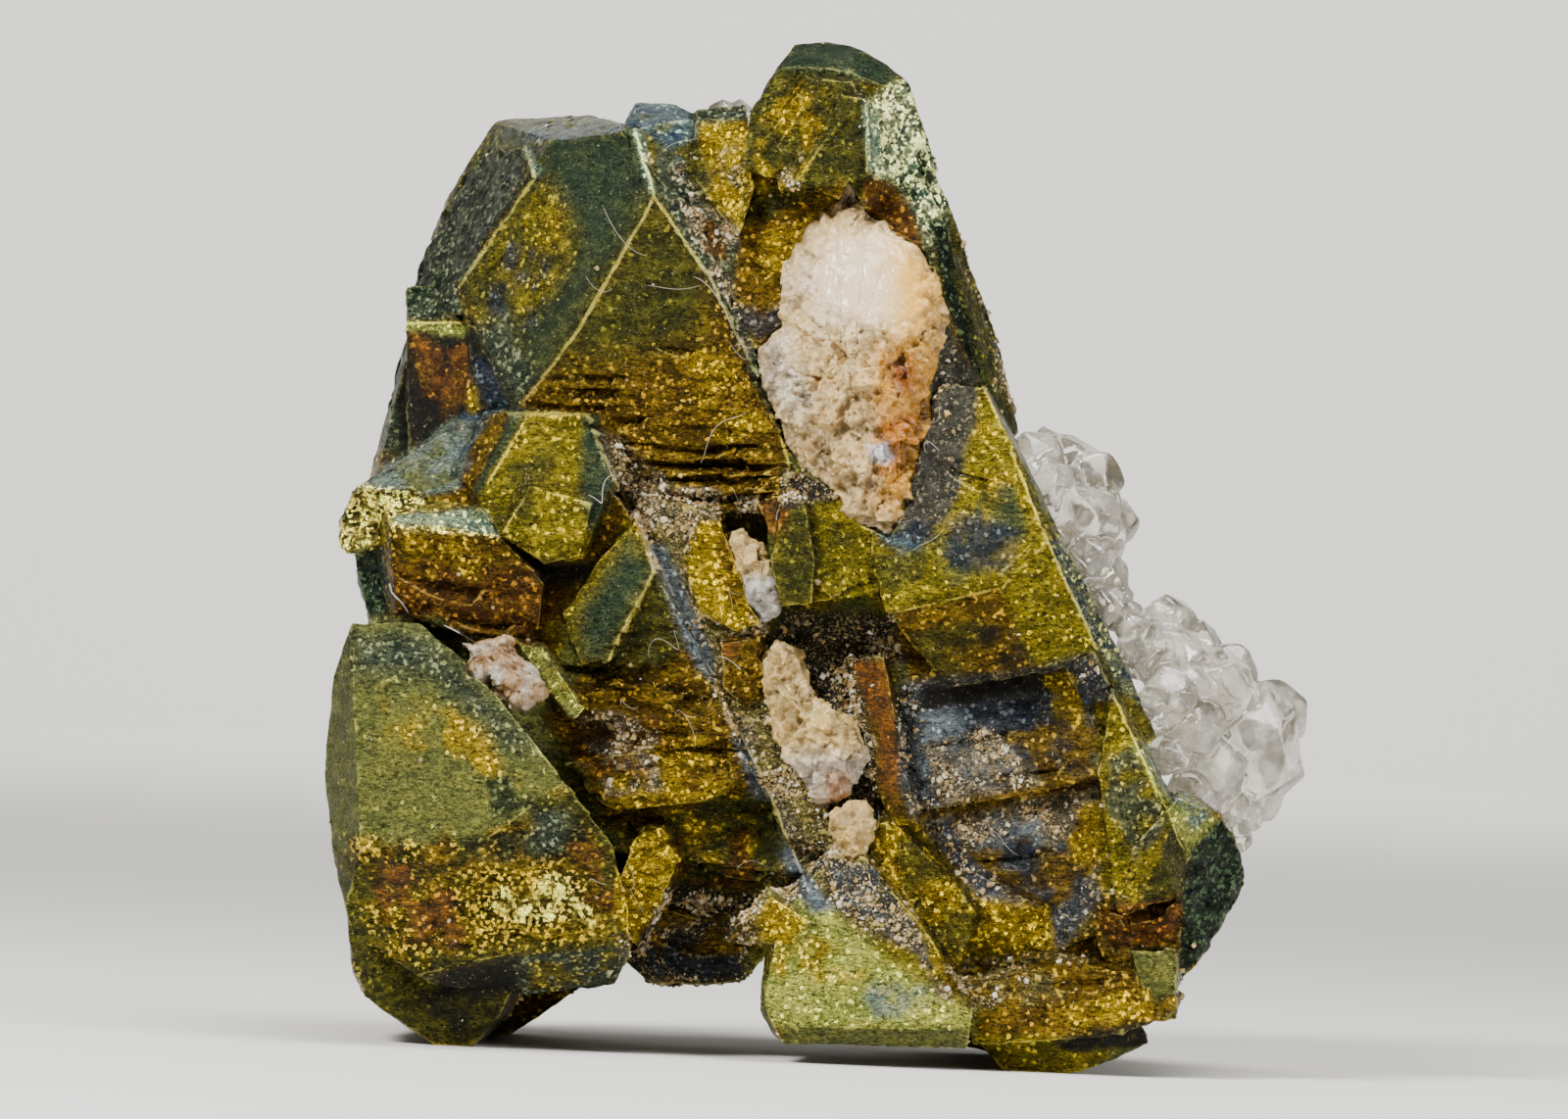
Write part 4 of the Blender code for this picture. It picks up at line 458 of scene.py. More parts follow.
    ("grey crust", 1.0, [(-1.8, 6.2), (1.4, 6.4), (4.6, 4.8), (2.2, 8.4), (-0.4, 8.6)], 0.8),
    ("bright green", 0.9, [(-3.5, 5.6), (-2.4, 7.4), (-1.0, 7.0), (0.4, 6.6), (2.4, 4.8),
                           (4.6, 3.4), (6.2, 2.6),
                           (6.0, 1.7), (-1.2, 1.8), (-2, 2.0), (-3.6, 4.9)]),
    ("gold", 0.9, [(-3.4, 6.4), (-1.2, 6.8), (0.6, 5.2), (2.4, 3.8), (0.4, 3.4), (-2.8, 4.2)], 0.5),
    ("pale blue", 1.0, [(1.6, 4.0), (4.4, 3.6), (5.4, 2.2), (2.0, 2.2)], 0.6),
    ("grey crust", 0.7, [(-0.6, 8.8), (1.4, 6.4), (3.4, 4.8), (4.6, 4.0), (4.2, 5.4),
                         (2.0, 8.6)], 0.6),
    ("white crust", 0.8, [(0.6, 7.6), (1.6, 8.6), (3.8, 6.2), (5.6, 2.8), (4.8, 3.0),
                          (2.4, 6.0)], 0.8),
    ("pale olive", 0.2, [(-1.4, 1.95), (6.1, 1.8), (6.1, 0.9), (-1.4, 1.0)]),
    ("gold", 0.3, [(-3.6, 5.2), (-1.9, 7.2), (-0.4, 6.2), (-1.2, 5.2)]),
    ("pale blue", 0.3, [(-19, 23.4), (-14.8, 26.2), (-14, 26), (-14.4, 23.4), (-18.4, 22.7)]),
    ("pale olive", 0.5, [(-17.2, 24.4), (-15.2, 25.4), (-14.6, 23.6), (-16.4, 23.2)], 0.9),
    ("blue", 0.4, [(-14.8, 25.8), (-13.6, 26.4), (-12.9, 25.0), (-14.2, 24.0)], 0.8),
    ("pale green", 0.3, [(-17.2, 22.4), (-13, 22.6), (-12.8, 21.4), (-17.2, 21.8)]),
    ("bright lumps", 0.5, [(-19.6, 22), (-18.6, 23.6), (-16.4, 23.3), (-15.4, 22.7), (-17.6, 22.3),
                           (-17.9, 20.8), (-19.4, 20.8)]),
    ("bright lumps", 0.2, [(-17.3, 22.0), (-15.0, 21.9), (-13.0, 21.6), (-13.0, 21.4),
                           (-17.2, 21.5)]),
    ("black green", 0.3, [(-19.6, 20.9), (-17.5, 21), (-17.1, 18.2), (-18.8, 18)]),
    ("smooth green", 0.3, [(-14, 23.2), (-12.3, 26.4), (-11.5, 26.5), (-13.4, 23.0)]),
    ("olive gold", 0.3, [(-11.7, 26.5), (-9.4, 26.4), (-8.2, 23.5), (-9.6, 20.6), (-11, 20.3),
                         (-12.8, 21.6), (-13.7, 23.1)]),
    ("dark olive", 0.8, [(-12.8, 24.0), (-10.6, 26.0), (-9.8, 24.2), (-11.6, 21.4),
                         (-13.2, 22.2)], 1.0),
    ("smooth green", 0.5, [(-9.4, 26.4), (-8.9, 26.4), (-8.0, 23.7), (-9.0, 21.4), (-9.6, 23.4)]),
    ("brown gold", 0.3, [(-17.3, 21.7), (-12.8, 21.5), (-11, 20), (-11.2, 17.4), (-14.3, 17.6),
                         (-17.2, 18.4)]),
    ("rust brown", 0.9, [(-17.2, 20.4), (-13.6, 20.2), (-11, 20.4), (-11, 17.2), (-14.3, 17.4),
                         (-17.2, 18.4)]),
    ("gold", 0.5, [(-16.6, 21.6), (-13.4, 21.4), (-13.6, 19.6), (-16.4, 19.8)], 0.7),
    # Painted shadow: black in the undercut below the crystal above.
    ("black", 0.4, [(-11.5, 20.4), (-8.6, 20.6), (-9, 19.4), (-11, 19.2)]),
    ("rust brown", 0.5, [(-11.3, 19.6), (-9.8, 19.4), (-10.2, 18.2), (-11.2, 18.0)]),
    ("olive gold", 0.4, [(-7.5, 22.4), (-6.5, 20.1), (-8.4, 16.4), (-9.6, 16.2), (-10.4, 18.8),
                         (-8.8, 20.6)]),
    ("smooth green", 1.2, [(-7.6, 21.4), (-6.5, 20.1), (-8.6, 16.4), (-9.6, 16.4), (-9.6, 18.6)]),
    ("dark olive", 0.4, [(-6.6, 20.1), (-5.3, 17.7), (-6.0, 16.0), (-8.2, 16.4)]),
    ("brown gold", 0.6, [(-5.3, 17.9), (-3.4, 14.1), (-1.9, 11.2), (-4.1, 10.8), (-6.1, 9.2),
                         (-9.6, 10), (-11.2, 14.4), (-9.4, 16.2), (-6, 16.2)]),
    ("rust brown", 0.9, [(-11.0, 15.4), (-7.0, 15.8), (-5.6, 13.0), (-7.4, 11.4),
                         (-9.8, 11.8)], 1.4),
    ("gold", 0.8, [(-8.4, 12.6), (-4.4, 13.6), (-3.0, 11.4), (-6.0, 9.8), (-8.6, 10.8)], 1.0),
    ("white crust", 0.8, [(-10.2, 14.6), (-6.6, 14.6), (-6.2, 11.2), (-8.6, 11.0)], 0.5),
    ("dusty olive", 0.5, [(-8.4, 24.6), (-5.8, 22.8), (-4.2, 22.8), (-2.2, 18.4), (-0.4, 12.4),
                          (1.4, 8.4), (-1.4, 9.2), (-3.6, 14), (-6.6, 20.2)]),
    ("gold", 0.4, [(-4.7, 22.4), (-4.0, 22.4), (-2.3, 18.0), (-3.3, 17.6), (-4.8, 18.5),
                   (-5.4, 20.4)]),
    ("brown gold", 0.4, [(-4.4, 22.4), (-4.0, 22.4), (-2.3, 18.0), (-3.0, 17.8),
                         (-3.8, 19.4)], 0.8),
    ("brown gold", 0.4, [(-3.9, 17.3), (-2.3, 17.5), (-1.9, 15.6), (-2.8, 14.6), (-3.9, 15.4)]),
    ("blue crust", 0.4, [(-6.9, 21.3), (-6.1, 21.0), (-4.3, 16.8), (-4.1, 15.6), (-5, 16.4),
                         (-6.2, 19.2)]),
    ("rust", 0.3, [(-4.0, 17.2), (-3.2, 17.4), (-3.3, 16.7), (-3.9, 16.6)]),
    ("white crust", 0.7, [(-9.0, 25.8), (-8.0, 25.6), (-5.6, 23.6), (-2.2, 23.2), (-2.2, 22.2),
                          (-4.6, 22.0), (-7.2, 21.9), (-8.3, 23.4)], 1.4),
    ("rust", 0.6, [(-2.8, 23.2), (-1.2, 23.0), (-1.2, 21.4), (-2.6, 21.6)], 0.7),
    ("white crust", 0.4, [(-3.9, 14.6), (-2.8, 14.4), (-1.2, 10.4), (1.2, 8.6), (-0.8, 8.6),
                          (-1.9, 10.4)], 1.2),
    ("blue crust", 0.3, [(-3.4, 13.4), (-2.9, 13.2), (-1.6, 9.6), (0.6, 6.6), (-0.2, 6.4),
                         (-2.2, 9.8)]),
    # Painted shadow: the dark pit beside the lower right end of the stepped face; the dust on it is
    # its own.
    ("black with sugar", 0.4, [(-1.4, 24.3), (0.4, 23.9), (0.6, 22.9), (-1.6, 22.6)]),
    ("pale olive", 0.4, [(-18.9, 18.2), (-15.2, 18.2), (-13.6, 16.2), (-11, 14), (-9.3, 11.8),
                         (-9.7, 11.6), (-11.2, 10.4), (-12.5, 10.1), (-13, 9.4), (-15, 9.2),
                         (-20.2, 8.8), (-20.2, 16)]),
    ("gold", 2.0, [(-17.8, 15.8), (-15.6, 15.6), (-12.8, 13.8), (-12.4, 11.8), (-14.4, 12.0),
                   (-17.6, 13.4)], 1.1),
    ("grey green", 1.8, [(-18.6, 17.8), (-15.6, 17.6), (-13.6, 15.6), (-11.2, 13.0), (-12.6, 13.0),
                         (-15.4, 15.8), (-18.6, 16.0)]),
    ("black green", 0.4, [(-17.4, 17.4), (-16.4, 17.5), (-16.2, 16.6), (-17.2, 16.5)], 0.4),
    ("sparkling", 0.6, [(-12.2, 12.0), (-10.2, 11.6), (-9.6, 10.2), (-12.6, 9.6)], 0.8),
    ("black green", 0.6, [(-13.4, 12.0), (-11.4, 12.2), (-11.2, 10.6), (-13.0, 10.4)], 0.9),
    ("dark olive", 0.5, [(-19.8, 9), (-15, 9.2), (-12.5, 10), (-10, 11.4), (-9.0, 11.5),
                         (-7.8, 8.6),
                         (-7.3, 6.4), (-7.4, 5.2), (-12, 4.7), (-15.1, 4.1), (-19.2, 5)]),
    ("brown gold", 0.9, [(-18.6, 9.4), (-9.2, 10.6), (-8.0, 7.0), (-15.0, 4.4), (-18.0, 6.0)], 1.2),
    ("sparkling", 1.2, [(-16.4, 7.4), (-12.4, 8.4), (-9.0, 8.0), (-8.2, 5.6), (-12, 5.0),
                        (-16.0, 5.0)]),
    ("bright lumps", 1.3, [(-13.2, 7.4), (-10.8, 8.2), (-9.0, 7.8), (-8.7, 5.8), (-11.6, 5.9),
                           (-13.6, 6.4)], 0.9),
    ("black green", 0.9, [(-17.0, 9.0), (-9.4, 10.4), (-8.6, 8.6), (-13.0, 8.2),
                          (-17.0, 8.0)], 1.1),
    ("sparkling", 0.8, [(-19.0, 9.6), (-13.6, 9.6), (-13.8, 8.6), (-18.6, 8.2)], 1.0),
    ("rust", 0.9, [(-18.0, 8.8), (-15.6, 8.8), (-13.8, 6.0), (-14.2, 4.6), (-16.4, 4.6),
                   (-17.6, 6.2)], 0.8),
    ("sparkling", 0.8, [(-18.6, 7.0), (-16.6, 7.0), (-14.6, 3.4), (-17.0, 2.6)], 0.6),
    ("grey green", 0.6, [(-11.4, 10.6), (-9.8, 10.6), (-10.2, 9.0), (-11.6, 9.0)]),
    ("rust brown", 0.6, [(-10.2, 9.6), (-8.4, 9.2), (-7.8, 6.4), (-9.4, 6.8)], 0.9),
    ("black", 0.5, [(-15.4, 4.1), (-12.1, 4.7), (-11.8, 3.1), (-14, 2.7), (-15.6, 2.9)]),
    ("grey green", 0.3, [(-12.2, 4.7), (-7.4, 5.2), (-8.0, 3.3), (-12, 2.9)]),
    ("olive gold", 0.4, [(-11.8, 4.5), (-7.6, 5.0), (-8.0, 3.6), (-11.6, 3.1)], 0.7),
    ("dark olive", 0.4, [(-19.0, 5), (-15.2, 4.1), (-15.4, 3.1), (-12.4, 3), (-12.6, 1.8),
                         (-14.3, 0.6),
                         (-17.4, 1.8)]),
    ("black", 0.8, [(-16.6, 3.4), (-13.0, 3.2), (-12.6, 1.6), (-15.4, 1.0)], 0.8),
    ("dark olive", 0.6, [(-7.8, 9.6), (-4, 11.0), (-1.8, 11.0), (-1.3, 9), (-2.8, 6.8),
                         (-7.4, 6.8)]),
    ("gold", 1.0, [(-5.6, 10.4), (-2.4, 10.6), (-2.4, 8.4), (-5.2, 8.2)], 0.9),
    ("rust brown", 0.7, [(-6.8, 9.6), (-2.0, 9.8), (-2.6, 7.2), (-6.4, 7.2)], 0.8),
    ("black with sugar", 1.2, [(-7.9, 7.6), (-2.4, 7.0), (-2.8, 3.5), (-6.9, 3.4), (-7.9, 5.0)]),
    ("dark blue", 0.8, [(-7.4, 6.4), (-3.0, 6.0), (-3.0, 3.6), (-6.8, 3.5)], 0.7),
    ("brown gold", 0.6, [(-7.0, 6.8), (-3.0, 6.6), (-3.0, 4.6), (-6.6, 4.4)], 0.6),
    ("gold", 0.3, [(-7.4, 9.7), (-6.2, 10.0), (-5.5, 8.5), (-7.3, 5.0), (-8.3, 6.4), (-7.9, 8.6)]),
    ("bright green", 0.2, [(-12, 17.2), (-11.1, 17.1), (-9.3, 14.6), (-9.9, 14.1),
                           (-11.4, 15.7)], 0.6),
]

# Ledges and striations: outline, the angle of their lines in degrees, how far apart and how deep
# they are in millimetres, and how long one runs.
STRIPES = [
    ([(-10.8, 28.4), (-2.2, 28.6), (-1.0, 24.5), (-1.6, 22.2), (-6.8, 22.2), (-9.6, 26.2),
      (-12, 26.8)],
     -1.5, 0.62, 0.32, 5.0),
    ([(-9.0, 30.6), (-3.0, 31.0), (-2.2, 28.2), (-10.6, 28.2)], -1.5, 0.50, 0.10, 2.0),
    ([(-6.6, 35.1), (-4.0, 31.0), (-9.0, 30.6)], 40, 0.55, 0.07, 0.9),
    ([(-11.8, 36), (-9.2, 33.4), (-11.8, 28.6), (-12.4, 26.5), (-14.6, 31.6)], 62, 0.60, 0.10, 1.6),
    ([(-2.8, 38.4), (-0.9, 40.4), (1.9, 39.6), (1.9, 36), (0.9, 35.6),
      (-3.1, 33.9)], 57, 0.62, 0.14, 2.4),
    ([(-17.3, 21.7), (-11, 20.4), (-11.2, 17.4), (-17, 18)], -6, 0.80, 0.16, 2.2),
    ([(-6.6, 20.1), (-3.4, 14.1), (-1.9, 11.2), (-6.1, 9.3), (-9.8, 10), (-11.2, 14.4),
      (-9.4, 16.2)],
     -4, 0.75, 0.22, 2.4),
    ([(-4.0, 17.6), (-2.0, 17.6), (-1.6, 13.6), (-3.6, 14.0)], 2, 0.50, 0.18, 1.6),
    ([(-1.6, 18.6), (2.8, 18.4), (2.4, 12.6), (-0.8, 14.4)], 0, 0.60, 0.16, 1.4),
    ([(3.2, 15.6), (11, 16.8), (12.2, 8), (9.6, 4.8), (3.7, 10.2)], 12, 1.10, 0.12, 3.0),
    ([(12.4, 13.2), (13.1, 13.3), (16.4, 9.6), (14.9, 8.6)], 38, 0.30, 0.05, 1.0),
    ([(11.4, 13.4), (13.0, 12.4), (14.2, 10), (12.6, 10.6)], 52, 0.28, 0.05, 2.0),
    ([(4.6, 5.0), (12.4, 5.0), (14.4, 2.9), (6.0, 1.4)], 8, 0.70, 0.14, 1.8),
    ([(1.9, 10), (3.8, 10.2), (6.4, 7), (9.3, 6.6), (9.4, 5), (4.8, 4.6)], 50, 0.55, 0.14, 1.6),
    ([(11.2, 7.0), (14.5, 7.1), (14.5, 4.8), (11.6, 4.8)], -3, 0.55, 0.22, 2.4),
    ([(-16, 8.4), (-8.4, 9.4), (-7.8, 5.6), (-15.6, 4.6)], 3, 0.55, 0.12, 1.4),
    ([(-7.9, 11), (-1.8, 11), (-2.8, 3.5), (-6.9, 3.4)], 5, 0.90, 0.22, 2.0),
    ([(9.1, 21.3), (10.0, 21.6), (13.2, 15.2), (11, 17.2)], -60, 0.22, 0.04, 1.2),
    ([(-1.5, 22.6), (2.0, 23), (2.4, 19.4), (-1.5, 18.6)], -72, 0.55, 0.10, 2.4),
    ([(-14.6, 24.6), (-15, 26), (-18.8, 23.4), (-15, 23)], 80, 0.70, 0.05, 2.0),
]

# Sharp edges given a painted highlight: lines in (x, z), and how bright each one is painted, 0 to
# 1.
LINES = [
    ([(-6.6, 35.1), (-9.6, 29.9), (-12.0, 26.8)], 1.0),
    ([(-7.4, 37.9), (-6.6, 35.1), (-4.4, 31.9), (-2.2, 27.4), (-1.2, 24.5), (-1.5, 22.8)], 0.9),
    ([(-11.9, 37.3), (-11.5, 36.0), (-14.6, 31.6)], 0.8),
    ([(-12.4, 26.4), (-9.3, 26.4), (-8.1, 23.6), (-7.2, 21.9), (-6.6, 20.1), (-8.4, 16.6)], 0.9),
    ([(-11.7, 26.2), (-13.3, 23.6)], 0.7), ([(-11.6, 23.3), (-12.7, 21.6)], 0.6),
    ([(-6.9, 21.3), (-4.2, 15.8), (-1.9, 11.0), (-0.4, 7.2)], 0.7),
    ([(2.8, 18.4), (7.3, 19.4), (9.1, 21.3)], 0.6), ([(3.9, 15.2), (8.5, 16.2), (11.0, 16.9)], 0.4),
    ([(6.6, 27.5), (9.1, 21.3), (11.1, 17.0)], 0.7), ([(11.0, 16.8), (13.9, 10.6),
      (14.6, 8.9)], 0.7),
    ([(-1.5, 40.3), (0.6, 40.2), (2.8, 39.5)], 0.5), ([(1.9, 38.8), (1.9, 36.0)], 0.5),
    ([(-3.0, 35.0), (-0.6, 38.8)], 0.5), ([(-1.8, 34.4), (1.0, 38.4)], 0.6),
    ([(-2.8, 38.3), (-3.2, 34.2)], 0.4), ([(1.9, 10.0), (4.8, 4.7)], 0.6),
    ([(-1.3, 1.9), (6.0, 1.8)], 0.4), ([(-14.2, 30.2), (-17.2, 30.2)], 0.6),
]


def mixed(colours, shade, weight):
    """Rows of linear colours with this sRGB hex colour mixed in by weight."""
    return colours + (np.array(linear(shade)) - colours) * weight[:, None]


def skin_numbers(name):
    """A kind of surface as one row: both colours, dull, dust, spark, rough, wide and pits."""
    colour, fleck, *rest = SKINS[name]
    return np.array(linear(colour) + linear(fleck) + rest)


def blended(values, name, weight):
    """The rows of values with this kind of surface mixed in by weight."""
    return values + (skin_numbers(name) - values) * weight[:, None]


def skins_at(points, normals):
    """One row for each point. On the sides and back the kinds follow wide noise and which way the
    face looks: bluer on top. On the display side they follow REGIONS, whose edges wander by a tenth
    of a millimetre."""
    count = len(points)
    values = np.tile(skin_numbers("olive gold"), (count, 1))
    values = blended(values, "dark olive", smooth(-0.1, 0.25, fractal(points, 5.0, 3, 11)))
    values = blended(values, "brown gold", smooth(0.15, 0.35, fractal(points, 7.0, 2, 12)))
    values = blended(values, "grey green", smooth(0.2, 0.4, fractal(points, 6.0, 3, 13)))
    values = blended(values, "pale olive", smooth(0.25, 0.45, fractal(points, 8.0, 2, 14)))
    values = blended(values, "gold", smooth(0.3, 0.5, fractal(points, 4.0, 2, 15)))
    values = blended(values, "blue", 0.6 * smooth(0.36, 0.6, fractal(points, 3.5, 4, 16)))
    values = blended(values, "rust", 0.7 * smooth(0.38, 0.6, fractal(points, 3.0, 4, 17)))
    values = blended(values, "top cap", smooth(0.55, 0.8, normals[:, 2]) * 0.7)
    values = blended(values, "dusty olive", smooth(0.3, 0.6, fractal(points, 3.0, 2, 18)) * 0.7)
    front = values.copy()
    x = points[:, 0] + 0.16 * fractal(points, 0.9, 3, 21)
    z = points[:, 2] + 0.16 * fractal(points, 0.9, 3, 22)
    for k, (name, feather, outline, *patch) in enumerate(REGIONS):
        low, high = np.min(outline, axis=0) - feather, np.max(outline, axis=0) + feather
        near = np.flatnonzero((x > low[0]) & (x < high[0]) & (z > low[1]) & (z < high[1]))
        weight = inside(x[near], z[near], outline, feather)
        for size in patch:
            broken = fractal(points[near], size, 4, 200 + k)
            weight = 0.85 * smooth(0.35, 0.75, weight * (0.58 + 1.1 * broken))
        front[near] = blended(front[near], name, weight)
    facing = smooth(-0.30, -0.02, -normals[:, 1]) * smooth(-3.5, -1.5, -points[:, 1])
    return values + (front - values) * facing[:, None], facing


def ledges_at(points, facing):
    """Relief of the striated faces, in millimetres: a sawtooth across the lines, stepping in at
    the lower side of each, whose lines wander and whose depth changes from one to the next."""
    x, z = points[:, 0], points[:, 2]
    relief = np.zeros(len(points))
    for k, (outline, angle, spacing, depth, length) in enumerate(STRIPES):
        weight = inside(x, z, outline, 0.5) * facing
        used = np.flatnonzero(weight > 0)
        if not len(used):
            continue
        turn = math.radians(angle)
        along = x[used] * math.cos(turn) + z[used] * math.sin(turn)
        across = z[used] * math.cos(turn) - x[used] * math.sin(turn)
        flat = np.column_stack([along / length, across / spacing * 0.45, np.zeros(len(used))])
        phase = across / spacing + 0.9 * fractal(flat, 1.0, 3, 40 + k)
        step = phase - np.floor(phase)
        strength = 0.35 + 0.65 * noise(np.column_stack(
            [along / length, np.floor(phase) * 1.7, np.zeros(len(used))]), 1.0, 60 + k) ** 2 * 2
        relief[used] += weight[used] * depth * np.clip(strength, 0, 1.3) * (0.5 - step)
    return relief


def relief_at(points, skins, facing, ledges):
    """How far each point of the cluster moves along its normal, in millimetres: broad swelling,
    the bumps and pits of its kind of surface, square-edged growth hillocks, and the ledges; and how
    near it is to the top of a bump, 0 to 1."""
    rough, wide = skins[:, 9], skins[:, 10]
    bumps = fractal(points / wide[:, None], 1.0, 3, 31)
    pits = fractal(points / wide[:, None], 0.55, 2, 32)
    relief = 0.05 * fractal(points, 3.2, 2, 30)
    relief += rough * (1.6 * bumps - 1.1 * smooth(0.25, 0.7, pits))
    gap, own, tilt = cells(points * np.array([1.0, 1.0, 0.8]), 0.62, 33)
    relief += rough * (0.7 * (own - 0.5) + 0.8 * tilt) * smooth(0.0, 0.08, gap)
    relief += ledges
    behind = 1 - facing
    steps = np.column_stack([points[:, 0], points[:, 1], points[:, 2] * 1.8])
    terrace = noise(steps, 3.0, 34) * 3.2
    relief += behind * 0.12 * (smooth(0.0, 0.35, terrace - np.floor(terrace)) - 0.5)
    return relief, smooth(0.12, 0.5, bumps + 0.5 * tilt)


def on_lines(x, z, width):
    """How near each point is to one of the LINES: its strength on it, and 0 at this width."""
    best = np.zeros(len(x))
    for line, strength in LINES:
        for (ax, az), (bx, bz) in zip(line[:-1], line[1:]):
            near = np.flatnonzero((x > min(ax, bx) - width) & (x < max(ax, bx) + width)
                                  & (z > min(az, bz) - width) & (z < max(az, bz) + width))
            t = np.clip(((x[near] - ax) * (bx - ax) + (z[near] - az) * (bz - az))
                        / ((bx - ax) ** 2 + (bz - az) ** 2), 0, 1)
            far = np.hypot(x[near] - ax - t * (bx - ax), z[near] - az - t * (bz - az))
            best[near] = np.maximum(best[near], strength * np.maximum(1 - far / width, 0))
    return best


def new_piece(name, points, triangles, material, part, nodes=()):
    """A piece of these points, in the plane of the picture, and triangles. It rides on the root
    and takes the place of the nodes."""
    mesh = bpy.data.meshes.new(name)
    mesh.vertices.add(len(points))
    mesh.vertices.foreach_set("co", to_scene(points).astype(np.float32).ravel())
    mesh.loops.add(len(triangles) * 3)
    mesh.loops.foreach_set("vertex_index", triangles.astype(np.int32).ravel())
    mesh.polygons.add(len(triangles))
    mesh.polygons.foreach_set("loop_start", np.arange(len(triangles), dtype=np.int32) * 3)
    mesh.update(calc_edges=True)
    mesh.shade_smooth()
    mesh.materials.append(material)
    piece = bpy.data.objects.new(name, mesh)
    bpy.context.scene.collection.objects.link(piece)
    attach(piece, "root")
    if nodes:
        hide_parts(*nodes)
    return piece


def thinned(piece, most):
    """Keeps the piece under this many triangles by merging points where it is flattest."""
    count = len(piece.data.polygons)
    if count <= most:
        return
    thin = piece.modifiers.new("Thin", "DECIMATE")
    thin.ratio = most / count
    graph = bpy.context.evaluated_depsgraph_get()
    mesh = bpy.data.meshes.new_from_object(piece.evaluated_get(graph))
    piece.modifiers.clear()
    old, piece.data = piece.data, mesh
    bpy.data.meshes.remove(old)
    mesh.name = piece.name


def paint(piece, name, columns):
    """A colour attribute of three numbers for each point of the piece."""
    layer = piece.data.attributes.new(name, "FLOAT_COLOR", "POINT")
    four = np.column_stack([columns, np.ones(len(columns))]).astype(np.float32)
    layer.data.foreach_set("color", four.ravel())


def add(tree, kind, inputs=None, **settings):
    """Adds a node with its settings. Inputs go by name or number to a value or to a socket."""
    made = tree.nodes.new(kind)
    for name, value in settings.items():
        setattr(made, name, value)
    for key, value in (inputs or {}).items():
        if isinstance(value, bpy.types.NodeSocket):
            tree.links.new(value, made.inputs[key])
        else:
            made.inputs[key].default_value = value
    return made


def empty_material(name):
    """A material with this name and nothing in it yet."""
    material = bpy.data.materials.new(name)
    material.use_nodes = True
    material.node_tree.nodes.clear()
    return material, material.node_tree


def rgba(colour):
    """An sRGB hex colour as a socket takes it."""
    return (*linear(colour), 1.0)


